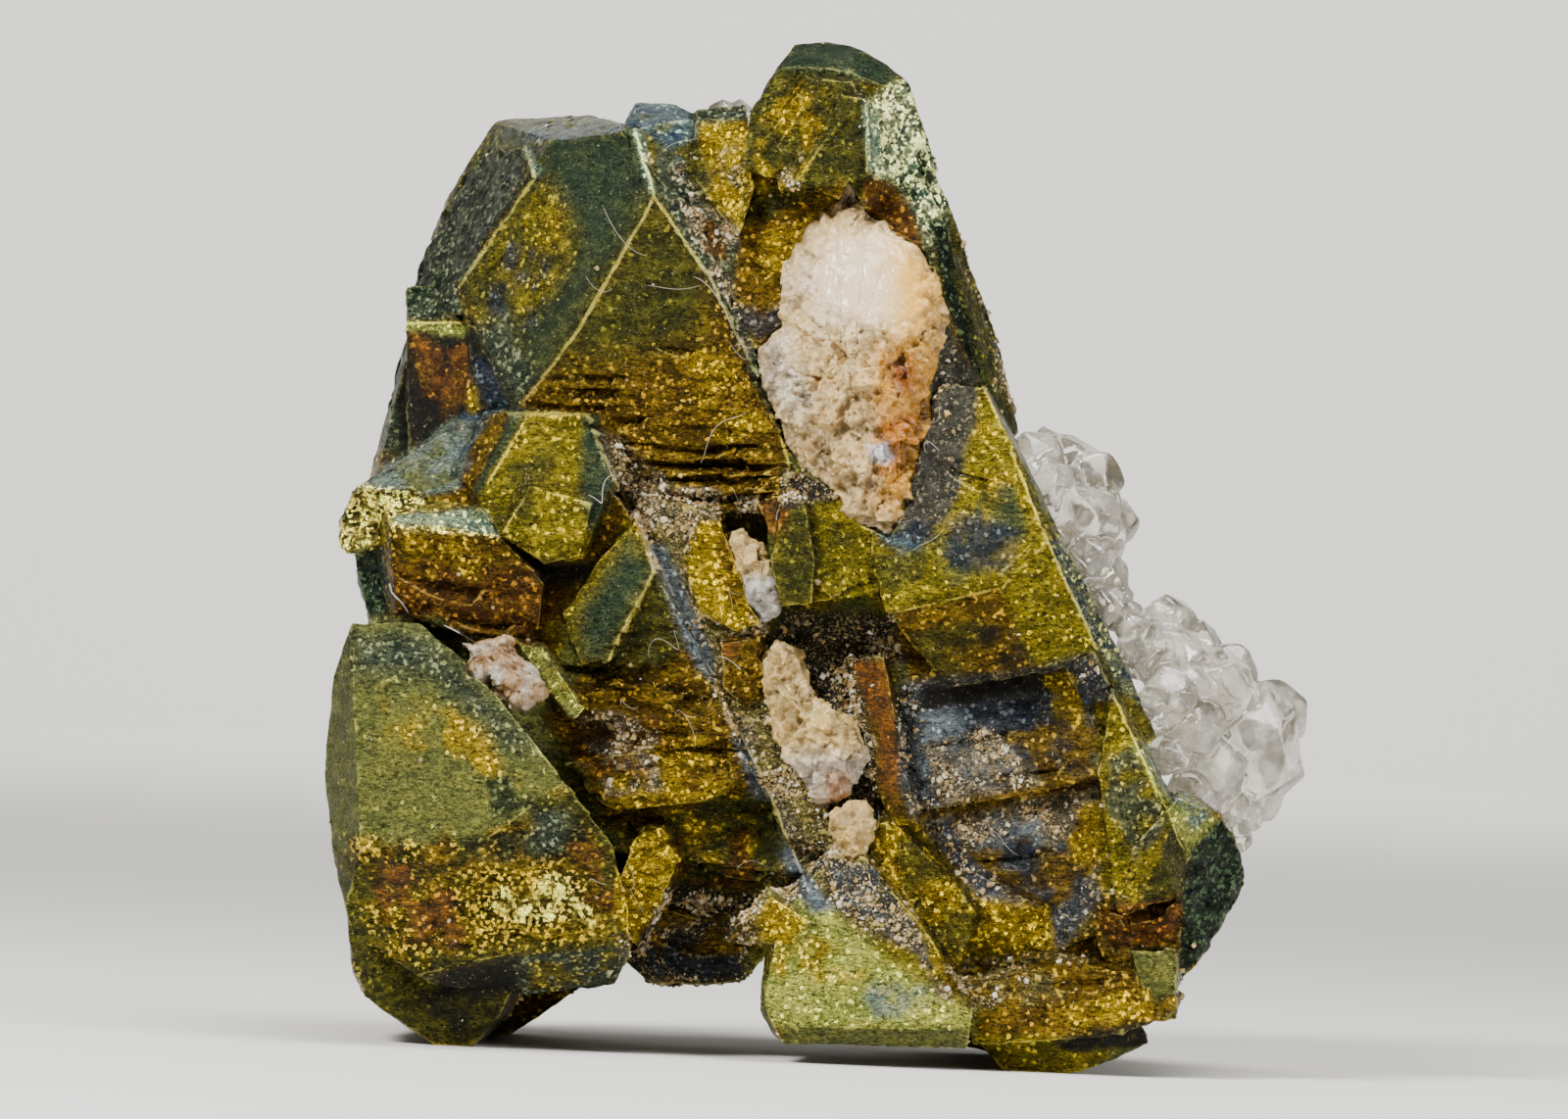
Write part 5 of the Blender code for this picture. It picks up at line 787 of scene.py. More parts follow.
def tarnished_chalcopyrite():
    """Chalcopyrite, grown in a vein and tarnished in air. Brassy metal under a film that turns
    from gold through olive to blue, with grains of sugar-white dust. Light is painted in: painted
    shade in the pits of the grain and in hollows, a painted highlight of pale brass on edges and
    humps, and painted glints on some of its small faces."""
    material, tree = empty_material("Chalcopyrite, striated and tarnished")
    place = add(tree, "ShaderNodeTexCoord").outputs["Object"]
    tint = add(tree, "ShaderNodeAttribute", attribute_name="tint").outputs["Color"]
    fleck = add(tree, "ShaderNodeAttribute", attribute_name="fleck").outputs["Color"]
    finish = add(tree, "ShaderNodeSeparateColor", {0: add(
        tree, "ShaderNodeAttribute", attribute_name="finish").outputs["Color"]})
    wear = add(tree, "ShaderNodeSeparateColor", {0: add(
        tree, "ShaderNodeAttribute", attribute_name="wear").outputs["Color"]})
    dull, dust, spark = finish.outputs[0], finish.outputs[1], finish.outputs[2]
    edge, deep, pitted = wear.outputs[0], wear.outputs[1], wear.outputs[2]

    # Patches of the fleck colour, from 1 mm down to hundredths, longer across than up.
    along = add(tree, "ShaderNodeMapping", {"Vector": place, "Scale": (0.7, 1.0, 1.5)}).outputs[0]
    patches = add(tree, "ShaderNodeTexNoise", {
        "Vector": along, "Scale": 1 / (0.8 * MM), "Detail": 8.0, "Roughness": 0.82})
    patch = add(tree, "ShaderNodeMapRange", {
        0: patches.outputs["Fac"], 1: 0.40, 2: 0.66, 4: 0.85}, interpolation_type="SMOOTHSTEP")
    colour = add(tree, "ShaderNodeMix", {0: patch.outputs[0], 6: tint, 7: fleck}, data_type="RGBA")

    # Grain 0.13 mm wide, the same noise as the fine bump: its tone is a painted highlight on the
    # humps and painted shade, down to black, in the pits between them.
    grain = add(tree, "ShaderNodeTexNoise", {
        "Vector": along, "Scale": 1 / (0.13 * MM), "Detail": 4.0, "Roughness": 0.7})
    shade = add(tree, "ShaderNodeMapRange", {
        0: grain.outputs["Fac"], 1: 0.37, 2: 0.65, 3: 0.15, 4: 1.28})
    colour = add(tree, "ShaderNodeVectorMath", {0: colour.outputs[2], 3: shade.outputs[0]},
                 operation="SCALE")
    pit = add(tree, "ShaderNodeMath", {0: pitted, 1: 0.15, 2: 0.335}, operation="MULTIPLY_ADD")
    pit = add(tree, "ShaderNodeMath", {
        0: pit.outputs[0], 1: grain.outputs["Fac"]}, operation="SUBTRACT")
    pit = add(tree, "ShaderNodeMapRange", {0: pit.outputs[0], 1: -0.03, 2: 0.07, 4: 0.85})
    colour = add(tree, "ShaderNodeMix", {
        0: pit.outputs[0], 6: colour.outputs[0], 7: rgba("0e0c06")}, data_type="RGBA")

    # Small faces, 0.14 mm wide, each tilted its own way; some are painted bright as glints.
    faces = add(tree, "ShaderNodeTexVoronoi", {"Vector": place, "Scale": 1 / (0.14 * MM)})
    middle = add(tree, "ShaderNodeVectorMath", {
        0: place, 1: faces.outputs["Position"]}, operation="SUBTRACT")
    lean = add(tree, "ShaderNodeVectorMath", {
        0: faces.outputs["Color"], 1: (0.5, 0.5, 0.5)}, operation="SUBTRACT")
    tilt = add(tree, "ShaderNodeVectorMath", {
        0: middle.outputs[0], 1: lean.outputs[0]}, operation="DOT_PRODUCT")
    tilted = add(tree, "ShaderNodeMath", {0: spark, 1: 0.8, 2: 0.10}, operation="MULTIPLY_ADD")
    tilted = add(tree, "ShaderNodeMath", {0: tilted.outputs[0], 1: tilt.outputs["Value"]},
                 operation="MULTIPLY")
    chosen = add(tree, "ShaderNodeSeparateColor", {0: faces.outputs["Color"]})
    glint = add(tree, "ShaderNodeMath", {0: spark, 1: 0.40, 2: chosen.outputs[1]},
                operation="MULTIPLY_ADD")
    glint = add(tree, "ShaderNodeMapRange", {0: glint.outputs[0], 1: 1.02, 2: 1.04, 4: 0.9})
    lit = add(tree, "ShaderNodeVectorMath", {0: fleck, 3: 1.9}, operation="SCALE")
    glow = add(tree, "ShaderNodeMix", {
        0: glint.outputs[0], 6: colour.outputs[2], 7: lit.outputs[0]}, data_type="RGBA")

    # Painted highlight: edges, the LINES and the tops of humps are painted pale brass, in lines and
    # spots broken up by the grain and the patches.
    painted_highlight = add(tree, "ShaderNodeMath", {0: grain.outputs["Fac"], 1: 0.9, 2: edge},
              operation="MULTIPLY_ADD")
    painted_highlight = add(tree, "ShaderNodeMath", {0: patches.outputs["Fac"], 1: 1.1, 2: painted_highlight.outputs[0]},
              operation="MULTIPLY_ADD")
    painted_highlight = add(tree, "ShaderNodeMapRange", {0: painted_highlight.outputs[0], 1: 1.52, 2: 2.02, 4: 1.0})
    highlight_colour = add(tree, "ShaderNodeMix", {
        0: 0.30, 6: lit.outputs[0], 7: rgba("c9c070")}, data_type="RGBA")
    bright = add(tree, "ShaderNodeMix", {
        0: painted_highlight.outputs[0], 6: glow.outputs[2], 7: highlight_colour.outputs[2]}, data_type="RGBA")
    # Painted shade: near black where the surface is hollow or sunk.
    gloom = add(tree, "ShaderNodeMix", {
        0: deep, 6: bright.outputs[2], 7: rgba("120e07")}, data_type="RGBA")

    # Dust grains, 0.11 mm wide, more of them where the dust attribute is high.
    sugar = add(tree, "ShaderNodeTexNoise", {
        "Vector": place, "Scale": 1 / (0.11 * MM), "Detail": 2.0, "Roughness": 0.8})
    drift = add(tree, "ShaderNodeMath", {0: patches.outputs["Fac"], 1: 0.25, 2: -0.125},
                operation="MULTIPLY_ADD")
    heap = add(tree, "ShaderNodeMath", {
        0: dust, 1: 0.34, 2: drift.outputs[0]}, operation="MULTIPLY_ADD")
    heap = add(tree, "ShaderNodeMath", {
        0: sugar.outputs["Fac"], 1: heap.outputs[0]}, operation="ADD")
    dusted = add(tree, "ShaderNodeMapRange", {0: heap.outputs[0], 1: 0.68, 2: 0.74})
    skin = add(tree, "ShaderNodeMix", {
        0: dusted.outputs[0], 6: gloom.outputs[2], 7: rgba("b9a577")}, data_type="RGBA")

    # Bare metal is 1, earthy rust 0.25, dust 0.
    metal = add(tree, "ShaderNodeMath", {0: dull, 1: -0.75, 2: 1.0}, operation="MULTIPLY_ADD")
    bare = add(tree, "ShaderNodeMath", {0: 1.0, 1: dusted.outputs[0]}, operation="SUBTRACT")
    metal = add(tree, "ShaderNodeMath", {
        0: metal.outputs[0], 1: bare.outputs[0]}, operation="MULTIPLY")
    rough = add(tree, "ShaderNodeMath", {0: dull, 1: 0.35, 2: 0.12}, operation="MULTIPLY_ADD")
    rough = add(tree, "ShaderNodeMath", {0: patches.outputs["Fac"], 1: 0.22, 2: rough.outputs[0]},
                operation="MULTIPLY_ADD")
    rough = add(tree, "ShaderNodeMath", {0: dusted.outputs[0], 1: 0.5, 2: rough.outputs[0]},
                operation="MULTIPLY_ADD", use_clamp=True)

    # Relief too fine for the mesh: the grain stands 0.018 mm high, then the tilted faces, the
    # patches and the dust.
    fine = add(tree, "ShaderNodeMath", {
        0: grain.outputs["Fac"], 1: 0.018 * MM}, operation="MULTIPLY")
    lump = add(tree, "ShaderNodeMath", {
        0: patches.outputs["Fac"], 1: 0.12 * MM, 2: fine.outputs[0]},
               operation="MULTIPLY_ADD")
    lump = add(tree, "ShaderNodeMath", {0: dusted.outputs[0], 1: 0.03 * MM, 2: lump.outputs[0]},
               operation="MULTIPLY_ADD")
    height = add(tree, "ShaderNodeMath", {
        0: tilted.outputs[0], 1: lump.outputs[0]}, operation="ADD")
    bump = add(tree, "ShaderNodeBump", {
        "Strength": 1.0, "Distance": 1.0, "Height": height.outputs[0]})
    shader = add(tree, "ShaderNodeBsdfPrincipled", {
        "Base Color": skin.outputs[2], "Metallic": metal.outputs[0], "Roughness": rough.outputs[0],
        "Normal": bump.outputs[0]})
    add(tree, "ShaderNodeOutputMaterial", {"Surface": shader.outputs[0]})
    return material


def cleaved_calcite(name, stained):
    """Calcite, grown as a crust and cleaved by chance: cream and pinkish white, slightly clear,
    with sugary broken grain; iron stains parts of it honey to rust. Stained tells how far."""
    material, tree = empty_material(name)
    place = add(tree, "ShaderNodeTexCoord").outputs["Object"]
    tint = add(tree, "ShaderNodeAttribute", attribute_name="tint").outputs["Color"]
    finish = add(tree, "ShaderNodeSeparateColor", {0: add(
        tree, "ShaderNodeAttribute", attribute_name="finish").outputs["Color"]})
    crumbs = add(tree, "ShaderNodeTexNoise", {
        "Vector": place, "Scale": 1 / (0.22 * MM), "Detail": 4.0, "Roughness": 0.65})
    clouds = add(tree, "ShaderNodeTexNoise", {
        "Vector": place, "Scale": 1 / (1.1 * MM), "Detail": 3.0, "Roughness": 0.6})
    cloud = add(tree, "ShaderNodeMapRange", {
        0: clouds.outputs["Fac"], 1: 0.45, 2: 0.75, 4: stained})
    honey = add(tree, "ShaderNodeMix", {
        0: cloud.outputs[0], 6: tint, 7: rgba("dc9a34")}, data_type="RGBA")
    shade = add(tree, "ShaderNodeMapRange", {
        0: crumbs.outputs["Fac"], 1: 0.3, 2: 0.7, 3: 0.50, 4: 1.0})
    shade = add(tree, "ShaderNodeMix", {0: finish.outputs[0], 2: 0.92, 3: shade.outputs[0]})
    colour = add(tree, "ShaderNodeVectorMath", {0: honey.outputs[2], 3: shade.outputs[0]},
                 operation="SCALE")
    # Broken grain: flat facets 0.28 mm wide, each tilted its own way, with crumbs between them.
    chips = add(tree, "ShaderNodeTexVoronoi", {"Vector": place, "Scale": 1 / (0.28 * MM)})
    middle = add(tree, "ShaderNodeVectorMath", {
        0: place, 1: chips.outputs["Position"]}, operation="SUBTRACT")
    lean = add(tree, "ShaderNodeVectorMath", {
        0: chips.outputs["Color"], 1: (0.5, 0.5, 0.5)}, operation="SUBTRACT")
    tilt = add(tree, "ShaderNodeVectorMath", {
        0: middle.outputs[0], 1: lean.outputs[0]}, operation="DOT_PRODUCT")
    tilt = add(tree, "ShaderNodeMath", {0: tilt.outputs["Value"], 1: 1.6}, operation="MULTIPLY")
    grain = add(tree, "ShaderNodeMath", {
        0: crumbs.outputs["Fac"], 1: 0.07 * MM, 2: tilt.outputs[0]}, operation="MULTIPLY_ADD")
    grain = add(tree, "ShaderNodeMath", {
        0: grain.outputs[0], 1: finish.outputs[0]}, operation="MULTIPLY")
    bump = add(tree, "ShaderNodeBump", {
        "Strength": 1.0, "Distance": 1.0, "Height": grain.outputs[0]})
    rough = add(tree, "ShaderNodeMapRange", {0: finish.outputs[0], 3: 0.25, 4: 0.42})
    shader = add(tree, "ShaderNodeBsdfPrincipled", {
        "Base Color": colour.outputs[0], "Roughness": rough.outputs[0], "IOR": 1.60,
        "Subsurface Weight": 0.18, "Subsurface Radius": (1.0, 0.7, 0.45),
        "Subsurface Scale": 0.5 * MM, "Normal": bump.outputs[0]})
    add(tree, "ShaderNodeOutputMaterial", {"Surface": shader.outputs[0]})
    return material


def clear_quartz():
    """Quartz, grown free into a cavity: colourless glass-like crystals, faintly milky inside, with
    growth lines on their faces."""
    material, tree = empty_material("Quartz, clear to milky")
    place = add(tree, "ShaderNodeTexCoord").outputs["Object"]
    veils = add(tree, "ShaderNodeTexNoise", {
        "Vector": place, "Scale": 1 / (1.3 * MM), "Detail": 4.0, "Roughness": 0.6})
    clear = add(tree, "ShaderNodeMapRange", {
        0: veils.outputs["Fac"], 1: 0.40, 2: 0.66, 3: 0.95, 4: 0.58})
    lines = add(tree, "ShaderNodeTexWave", {
        "Vector": place, "Scale": 1 / (9.0 * MM), "Distortion": 3.0, "Detail": 2.0,
        "Detail Scale": 2.0}, bands_direction="DIAGONAL")
    pits = add(tree, "ShaderNodeTexNoise", {
        "Vector": place, "Scale": 1 / (0.30 * MM), "Detail": 3.0, "Roughness": 0.6})
    height = add(tree, "ShaderNodeMath", {
        0: lines.outputs["Fac"], 1: 0.25, 2: pits.outputs["Fac"]}, operation="MULTIPLY_ADD")
    bump = add(tree, "ShaderNodeBump", {"Strength": 0.3, "Distance": 0.03 * MM,
                                        "Height": height.outputs[0]})
    rough = add(tree, "ShaderNodeMapRange", {
        0: pits.outputs["Fac"], 1: 0.45, 2: 0.7, 3: 0.0, 4: 0.06})
    shader = add(tree, "ShaderNodeBsdfPrincipled", {
        "Base Color": rgba("efe9dd"), "Roughness": rough.outputs[0], "IOR": 1.544,
        "Transmission Weight": clear.outputs[0], "Normal": bump.outputs[0]})
    add(tree, "ShaderNodeOutputMaterial", {"Surface": shader.outputs[0]})
    return material


def sugar_grains():
    """Grains of quartz and calcite, broken and washed in: white to tan, half clear."""
    material, tree = empty_material("Sugary grains of quartz and calcite")
    tint = add(tree, "ShaderNodeAttribute", attribute_name="tint").outputs["Color"]
    shader = add(tree, "ShaderNodeBsdfPrincipled", {
        "Base Color": tint, "Roughness": 0.4, "IOR": 1.55, "Subsurface Weight": 0.15,
        "Subsurface Radius": (1.0, 0.9, 0.8), "Subsurface Scale": 0.1 * MM})
    add(tree, "ShaderNodeOutputMaterial", {"Surface": shader.outputs[0]})
    return material


def lint():
    """Cotton lint from handling: thin, dull white threads."""
    material, tree = empty_material("Lint threads")
    place = add(tree, "ShaderNodeTexCoord").outputs["Object"]
    twist = add(tree, "ShaderNodeTexNoise", {"Vector": place, "Scale": 1 / (0.2 * MM)})
    shade = add(tree, "ShaderNodeMix", {
        0: twist.outputs["Fac"], 6: rgba("a99a80"), 7: rgba("ded7ca")}, data_type="RGBA")
    shader = add(tree, "ShaderNodeBsdfPrincipled", {
        "Base Color": shade.outputs[2], "Roughness": 0.7, "Sheen Weight": 0.2})
    add(tree, "ShaderNodeOutputMaterial", {"Surface": shader.outputs[0]})
    return material


def studio_paper():
    """A roll of matt studio paper: even and very pale, with the faintest tooth."""
    material, tree = empty_material("Studio paper, matt")
    place = add(tree, "ShaderNodeTexCoord").outputs["Object"]
    tooth = add(tree, "ShaderNodeTexNoise", {
        "Vector": place, "Scale": 1 / (0.8 * MM), "Detail": 2.0})
    shade = add(tree, "ShaderNodeMix", {
        0: tooth.outputs["Fac"], 6: rgba("dcdad6"), 7: rgba("e2e0dc")}, data_type="RGBA")
    shader = add(tree, "ShaderNodeBsdfPrincipled", {
        "Base Color": shade.outputs[2], "Roughness": 0.85})
    add(tree, "ShaderNodeOutputMaterial", {"Surface": shader.outputs[0]})
    return material


def dressed_cluster(detail, strength, dust_amount):
    """The chalcopyrite: the solid's triangles halved until they are fine, each point moved along
    its normal by relief_at, and its colours, finish, painted highlight, painted shade and pitting
    kept as attributes."""
    points, triangles = merged("chalcopyrite_cluster")

    def longest(middle, facing):
        """Fine on the display side, finest along the LINES, and coarser behind."""
        behind = smooth(1.0, -4.5, -middle[:, 1])
        size = detail * (1 + 2.2 * behind + 1.2 * smooth(0.25, -0.1, facing) * (1 - behind))
        lined = (facing > 0.1) & (on_lines(middle[:, 0], middle[:, 2], 0.3) > 0) & (behind < 0.5)
        return np.where(lined, detail * 0.45, size)

    points, triangles = refine(points, triangles, longest)
    edges, _ = edge_list(triangles, len(points))
    normals = normals_of(points, triangles)
    out, deep = ridge_of(points, normals, edges, 0)
    skins, facing = skins_at(points, normals)
    ledges = ledges_at(points, facing)
    relief, crest = relief_at(points, skins, facing, ledges)
    chips = smooth(0.1, 0.6, noise(points, 0.7, 35)) * 0.12
    moved = points + normals * ((relief - out * chips) * strength)[:, None]
    resting = smooth(0.25, 0.6, to_scene(points)[:, 2] / MM)
    moved = points + (moved - points) * resting[:, None]
    # Painted shade where the relief sinks.
    sunk_shade = smooth(-0.02, -0.10, relief)
    piece = new_piece("chalcopyrite_crystals", moved, triangles, tarnished_chalcopyrite(),
                      "chalcopyrite", ["chalcopyrite_cluster"])
    paint(piece, "tint", skins[:, 0:3])
    paint(piece, "fleck", skins[:, 3:6])
    dust = np.clip(skins[:, 7] * dust_amount + 0.12 * deep, 0, 1)
    # Dullness, dust, and the amount of painted glints.
    paint(piece, "finish", np.column_stack([skins[:, 6], dust, skins[:, 8]]))
    # Painted highlight: the LINES, convex edges and, where the skin has glints, the tops of bumps.
    lined = on_lines(points[:, 0] + 0.05 * fractal(points, 0.5, 2, 36), points[:, 2], 0.12)
    out = np.maximum(np.maximum(out * 0.9, crest * smooth(0.35, 1.0, skins[:, 8])),
                     1.1 * smooth(0.0, 0.6, lined) * (facing > 0.3))
    # One attribute holds the painted highlight, the painted shade in hollows and sunk places, and
    # the pitting.
    paint(piece, "wear", np.column_stack([
        out, np.clip(deep * 0.7 + sunk_shade * 0.45, 0, 0.9), skins[:, 11]]))
    thinned(piece, MOST_TRIANGLES)


def crumbly(points, seed):
    """Relief of broken grain in millimetres: chips (each cell a flat facet at its own height and
    tilt) of 1.1, 0.5 and 0.25 mm, the smaller the lower."""
    relief = np.zeros(len(points))
    for k, (size, height) in enumerate(((1.1, 0.34), (0.5, 0.18), (0.25, 0.09))):
        bent = points + 0.15 * size * np.column_stack([noise(points, size / 2, seed + 40 + i)
                                                       for i in range(3)])
        gap, own, tilt = cells(bent, size, seed + 7 * k)
        relief += height * ((own - 0.5) + 0.9 * tilt) * (0.4 + 0.6 * smooth(0.0, 0.06, gap))
    return relief


def dressed_calcite(detail):
    """The calcite: its solids' triangles halved until they are fine, widened to meet the crystals,
    and moved along their normals by crumbly; the lens keeps a smooth cleaved upper part with lines
    that fan out from its top."""
    for node, name, stained in (("calcite_lens", "calcite_crust", 0.25),
                                ("calcite_ribbon_upper", "calcite_vein_upper", 0.15),
                                ("calcite_ribbon_lower", "calcite_vein_lower", 0.25),
                                ("calcite_ribbon_small", "calcite_vein_end", 0.5)):
        points, triangles = merged(node)
        points, triangles = refine(
            points, triangles, lambda middle, facing: np.full(len(middle), detail))
        normals = normals_of(points, triangles)
        x, z = points[:, 0], points[:, 2]
        relief = crumbly(points, 71)
        rim = smooth(0.85, 0.3, -normals[:, 1])
        sideways = normals * [1, 0, 1] * (rim * (0.26 + 0.2 * noise(points, 1.2, 74)))[:, None]
        cream = np.tile(linear("f0cb7e"), (len(points), 1))
        grain = np.ones(len(points))
        if node == "calcite_lens":
            cleaved = inside(x, z, [(0.6, 33.6), (2.2, 33.8), (4.0, 32.6), (4.4, 30.4), (3.6, 29.6),
                                    (1.6, 29.9), (0.2, 30.6), (-0.4, 32.0)], 1.4)
            fan = np.arctan2(x - 0.9, 35.5 - z) * 17 + 0.8 * noise(points, 1.2, 73)
            lines = 0.05 * (np.abs(fan - np.floor(fan) - 0.5) * 2)
            swell = 0.55 * smooth(3.6, 0.0, np.hypot(x - 1.4, (z - 29.5) * 0.45))
            relief = 1.25 * relief * (1 - 0.93 * cleaved) + (lines + 0.15) * cleaved + swell
            cream = tones(points)
            grain = 1 - 0.85 * cleaved
        elif node == "calcite_ribbon_lower":
            cream = mixed(cream, "e6d8bf", smooth(13.4, 12.2, z))
            cream = mixed(cream, "c07a34", 0.7 * inside(
                x, z, [(0.2, 12), (1.2, 12.2), (1.2, 11), (0.2, 11)], 0.6))
        elif node == "calcite_ribbon_upper":
            cream = mixed(cream, "d8cfc0", smooth(20.2, 19.6, z))
            relief = relief * (1 - 0.6 * smooth(20.4, 19.8, z))
        # Painted shade: the cream darkens to 0.45 where the relief sinks into crevices.
        cream = cream * (0.45 + 0.55 * smooth(-0.25, 0.25, relief))[:, None]
        held_in = 0.55 if node == "calcite_lens" else 0.15
        outward = smooth(-0.9, 0.2, -normals[:, 1]) * (1 - held_in * rim)
        moved = points + sideways + normals * (relief * outward)[:, None]
        look = cleaved_calcite(
            "Calcite, " + name.replace("calcite_", "").replace("_", " "), stained)
        piece = new_piece(name, moved, triangles, look, "calcite", [node])
        paint(piece, "tint", cream)
        paint(piece, "finish", np.column_stack([grain, grain, grain]))


def tones(points):
    """Colours of the large calcite crust: pinkish white at the top left, honey and orange down the
    right, a rust spot, a milky lower left and a tan rim at the very top."""
    x = points[:, 0] + 0.5 * fractal(points, 1.1, 4, 75)
    z = points[:, 2] + 0.5 * fractal(points, 1.1, 4, 76)
    colour = np.tile(linear("f2cf8c"), (len(points), 1))
    spots = [("f3dcb4", 1.8, [(-1.2, 31.8), (0.4, 33.2), (2.6, 33.4), (3.4, 31.4), (2.4, 29.8),
             (0, 29.6)]),
             ("eeb64a", 1.6, [(3.0, 33.0), (4.6, 32.6), (5.2, 30.2), (4.8, 28.4), (3.0, 28.6),
                              (3.4, 31)]),
             ("eaa628", 1.2, [(2.2, 29.0), (4.8, 29.0), (4.6, 25.6), (3.2, 22.2), (2.4, 22.8),
                              (2.4, 25.6)]),
             ("8a4402", 0.8, [(2.8, 28.5), (3.7, 28.6), (3.9, 27.4), (3.1, 27.0)]),
             ("cc7a08", 0.9, [(2.4, 26.2), (3.9, 26.4), (3.5, 24.2), (2.4, 23.8)]),
             ("e8c584", 1.6, [(-2.4, 29.2), (0.4, 28.8), (1.8, 26), (1.0, 23.8), (-0.6, 24.6),
                              (-2.2, 27.4)]),
             ("f4e2c0", 1.0, [(-2.4, 29.4), (-1.0, 29.4), (-0.4, 27.6), (-0.6, 26), (-1.8, 27)]),
             ("d8b27c", 0.8, [(0.4, 35.8), (1.4, 35.8), (2.1, 34.3), (-0.6, 33.6)]),
             ("fbfaf8", 0.3, [(1.9, 25.3), (2.9, 25.4), (3.0, 24.7), (2.1, 24.4)])]
    for shade, feather, outline in spots:
        colour = mixed(colour, shade, inside(x, z, outline, feather))
    return colour


# Quartz crystals: middle (x, z, d), radius, the way the long axis points, and how long it is.
UPPER_QUARTZ = [
    ((9.7, 23.9, 1.2), 2.0, (0.2, 0.6, 0.8), 1.0), ((8.7, 24.5, 2.4), 1.25, (-0.3, 1.0, 0.5), 1.2),
    ((10.9, 23.7, 1.8), 1.35, (0.6, 0.8, 0.4), 1.2),
    ((11.8, 22.1, 1.2), 1.05, (1.0, 0.1, 0.4), 1.25),
    ((11.4, 21.2, 2.4), 1.0, (0.7, -0.3, 0.8), 1.2),
    ((11.7, 20.0, 2.2), 0.9, (0.8, -0.5, 0.6), 1.2),
    ((10.6, 22.2, 3.3), 1.5, (0.3, 0.1, 1.0), 1.1), ((10.9, 20.8, 3.6), 1.1, (0.5, 0.2, 1.0), 1.2),
    ((9.4, 23.2, 3.4), 1.45, (0.1, 0.3, 1.0), 1.1), ((12.0, 19.0, 2.2), 0.8, (0.6, -0.7, 0.4), 1.3),
    ((10.4, 22.8, -1.0), 1.9, (0.3, 0.3, -1.0), 1.2),
    ((11.2, 21.0, -0.6), 1.3, (0.8, -0.2, -0.6), 1.2),
    ((9.9, 24.7, 2.0), 0.95, (0.1, 1.0, 0.7), 1.1), ((11.6, 22.9, 2.4), 0.8, (0.9, 0.5, 0.8), 1.2),
    ((11.5, 18.6, 3.4), 0.75, (0.3, 0.2, 1.0), 1.2), ((8.3, 24.1, 3.4), 0.8, (-0.1, 0.4, 1.0), 1.2),
    ((9.2, 25.2, 0.8), 0.8, (-0.2, 1.0, 0.1), 1.0),
    ((12.1, 18.3, 2.4), 0.75, (0.5, -0.5, 0.7), 1.1),
]
LOWER_QUARTZ = [
    ((14.3, 17.7, 2.0), 1.3, (-0.1, 1.0, 0.4), 1.2),
    ((14.2, 16.6, 3.6), 1.35, (0.1, 0.9, 1.0), 1.1),
    ((13.3, 16.9, 4.2), 1.1, (-0.2, 0.6, 1.0), 1.2),
    ((16.1, 15.4, 2.8), 1.75, (0.4, 0.6, 0.8), 1.0),
    ((17.5, 13.1, 1.6), 2.25, (0.5, 0.1, 0.8), 1.0),
    ((18.4, 14.3, 0.6), 1.35, (0.9, 0.5, 0.2), 1.1),
    ((18.6, 12.1, 0.8), 1.15, (1.0, -0.3, 0.3), 1.1),
    ((15.1, 13.9, 4.2), 1.4, (0.2, 0.2, 1.0), 1.1),
    ((16.0, 12.2, 3.3), 1.35, (0.2, -0.3, 1.0), 1.2),
    ((14.1, 15.0, 4.6), 1.15, (0.0, 0.2, 1.0), 1.2),
    ((16.9, 10.5, 2.0), 1.2, (0.2, -0.9, 0.6), 1.2),
    ((17.0, 9.3, 1.2), 0.75, (0.1, -1.0, 0.3), 1.1),
    ((15.2, 11.2, 3.4), 1.1, (0.1, -0.4, 1.0), 1.2),
    ((14.3, 12.8, 4.4), 1.05, (-0.1, 0.0, 1.0), 1.1),
    ((15.8, 14.6, -1.2), 2.0, (0.3, 0.3, -1.0), 1.1),
    ((17.2, 12.4, -1.4), 2.0, (0.5, -0.2, -1.0), 1.1),
    ((15.2, 16.6, -0.6), 1.6, (0.2, 1.0, -0.5), 1.1),
    ((16.8, 16.0, 0.8), 1.1, (0.6, 1.0, 0.2), 1.1),
    ((18.0, 10.7, 0.4), 0.95, (0.6, -0.8, 0.2), 1.1),
    ((15.3, 17.2, 1.6), 0.9, (0.4, 1.0, 0.4), 1.2),
    ((13.4, 14.4, 4.9), 0.9, (0.1, 0.3, 1.0), 1.1), ((15.0, 15.5, 4.2), 0.9, (0.5, 0.4, 1.0), 1.2),
    ((13.9, 18.3, 2.6), 0.7, (-0.4, 1.0, 0.4), 1.1), ((16.6, 11.6, 3.4), 0.7, (0.6, 0.1, 1.0), 1.2),
    ((17.3, 15.0, 2.6), 0.85, (0.8, 0.6, 0.8), 1.1), ((14.6, 16.9, 3.9), 0.6, (0.6, 0.6, 1.0), 1.3),
    ((12.8, 17.6, 3.0), 0.8, (-0.4, 0.8, 0.6), 1.2),
    ((12.6, 18.4, 2.4), 0.55, (-0.2, 1.0, 0.4), 1.2),
]
TIP_QUARTZ = [
    ((-3.3, 38.5, -2.1), 0.85, (0.1, 1.0, 0.0), 1.2),
    ((-4.4, 38.3, -2.0), 0.6, (-0.4, 1.0, 0.1), 1.2),
    ((-3.9, 38.7, -1.8), 0.6, (-0.1, 1.0, 0.2), 1.2),
    ((-2.9, 38.5, -2.2), 0.5, (0.4, 1.0, -0.1), 1.2),
]


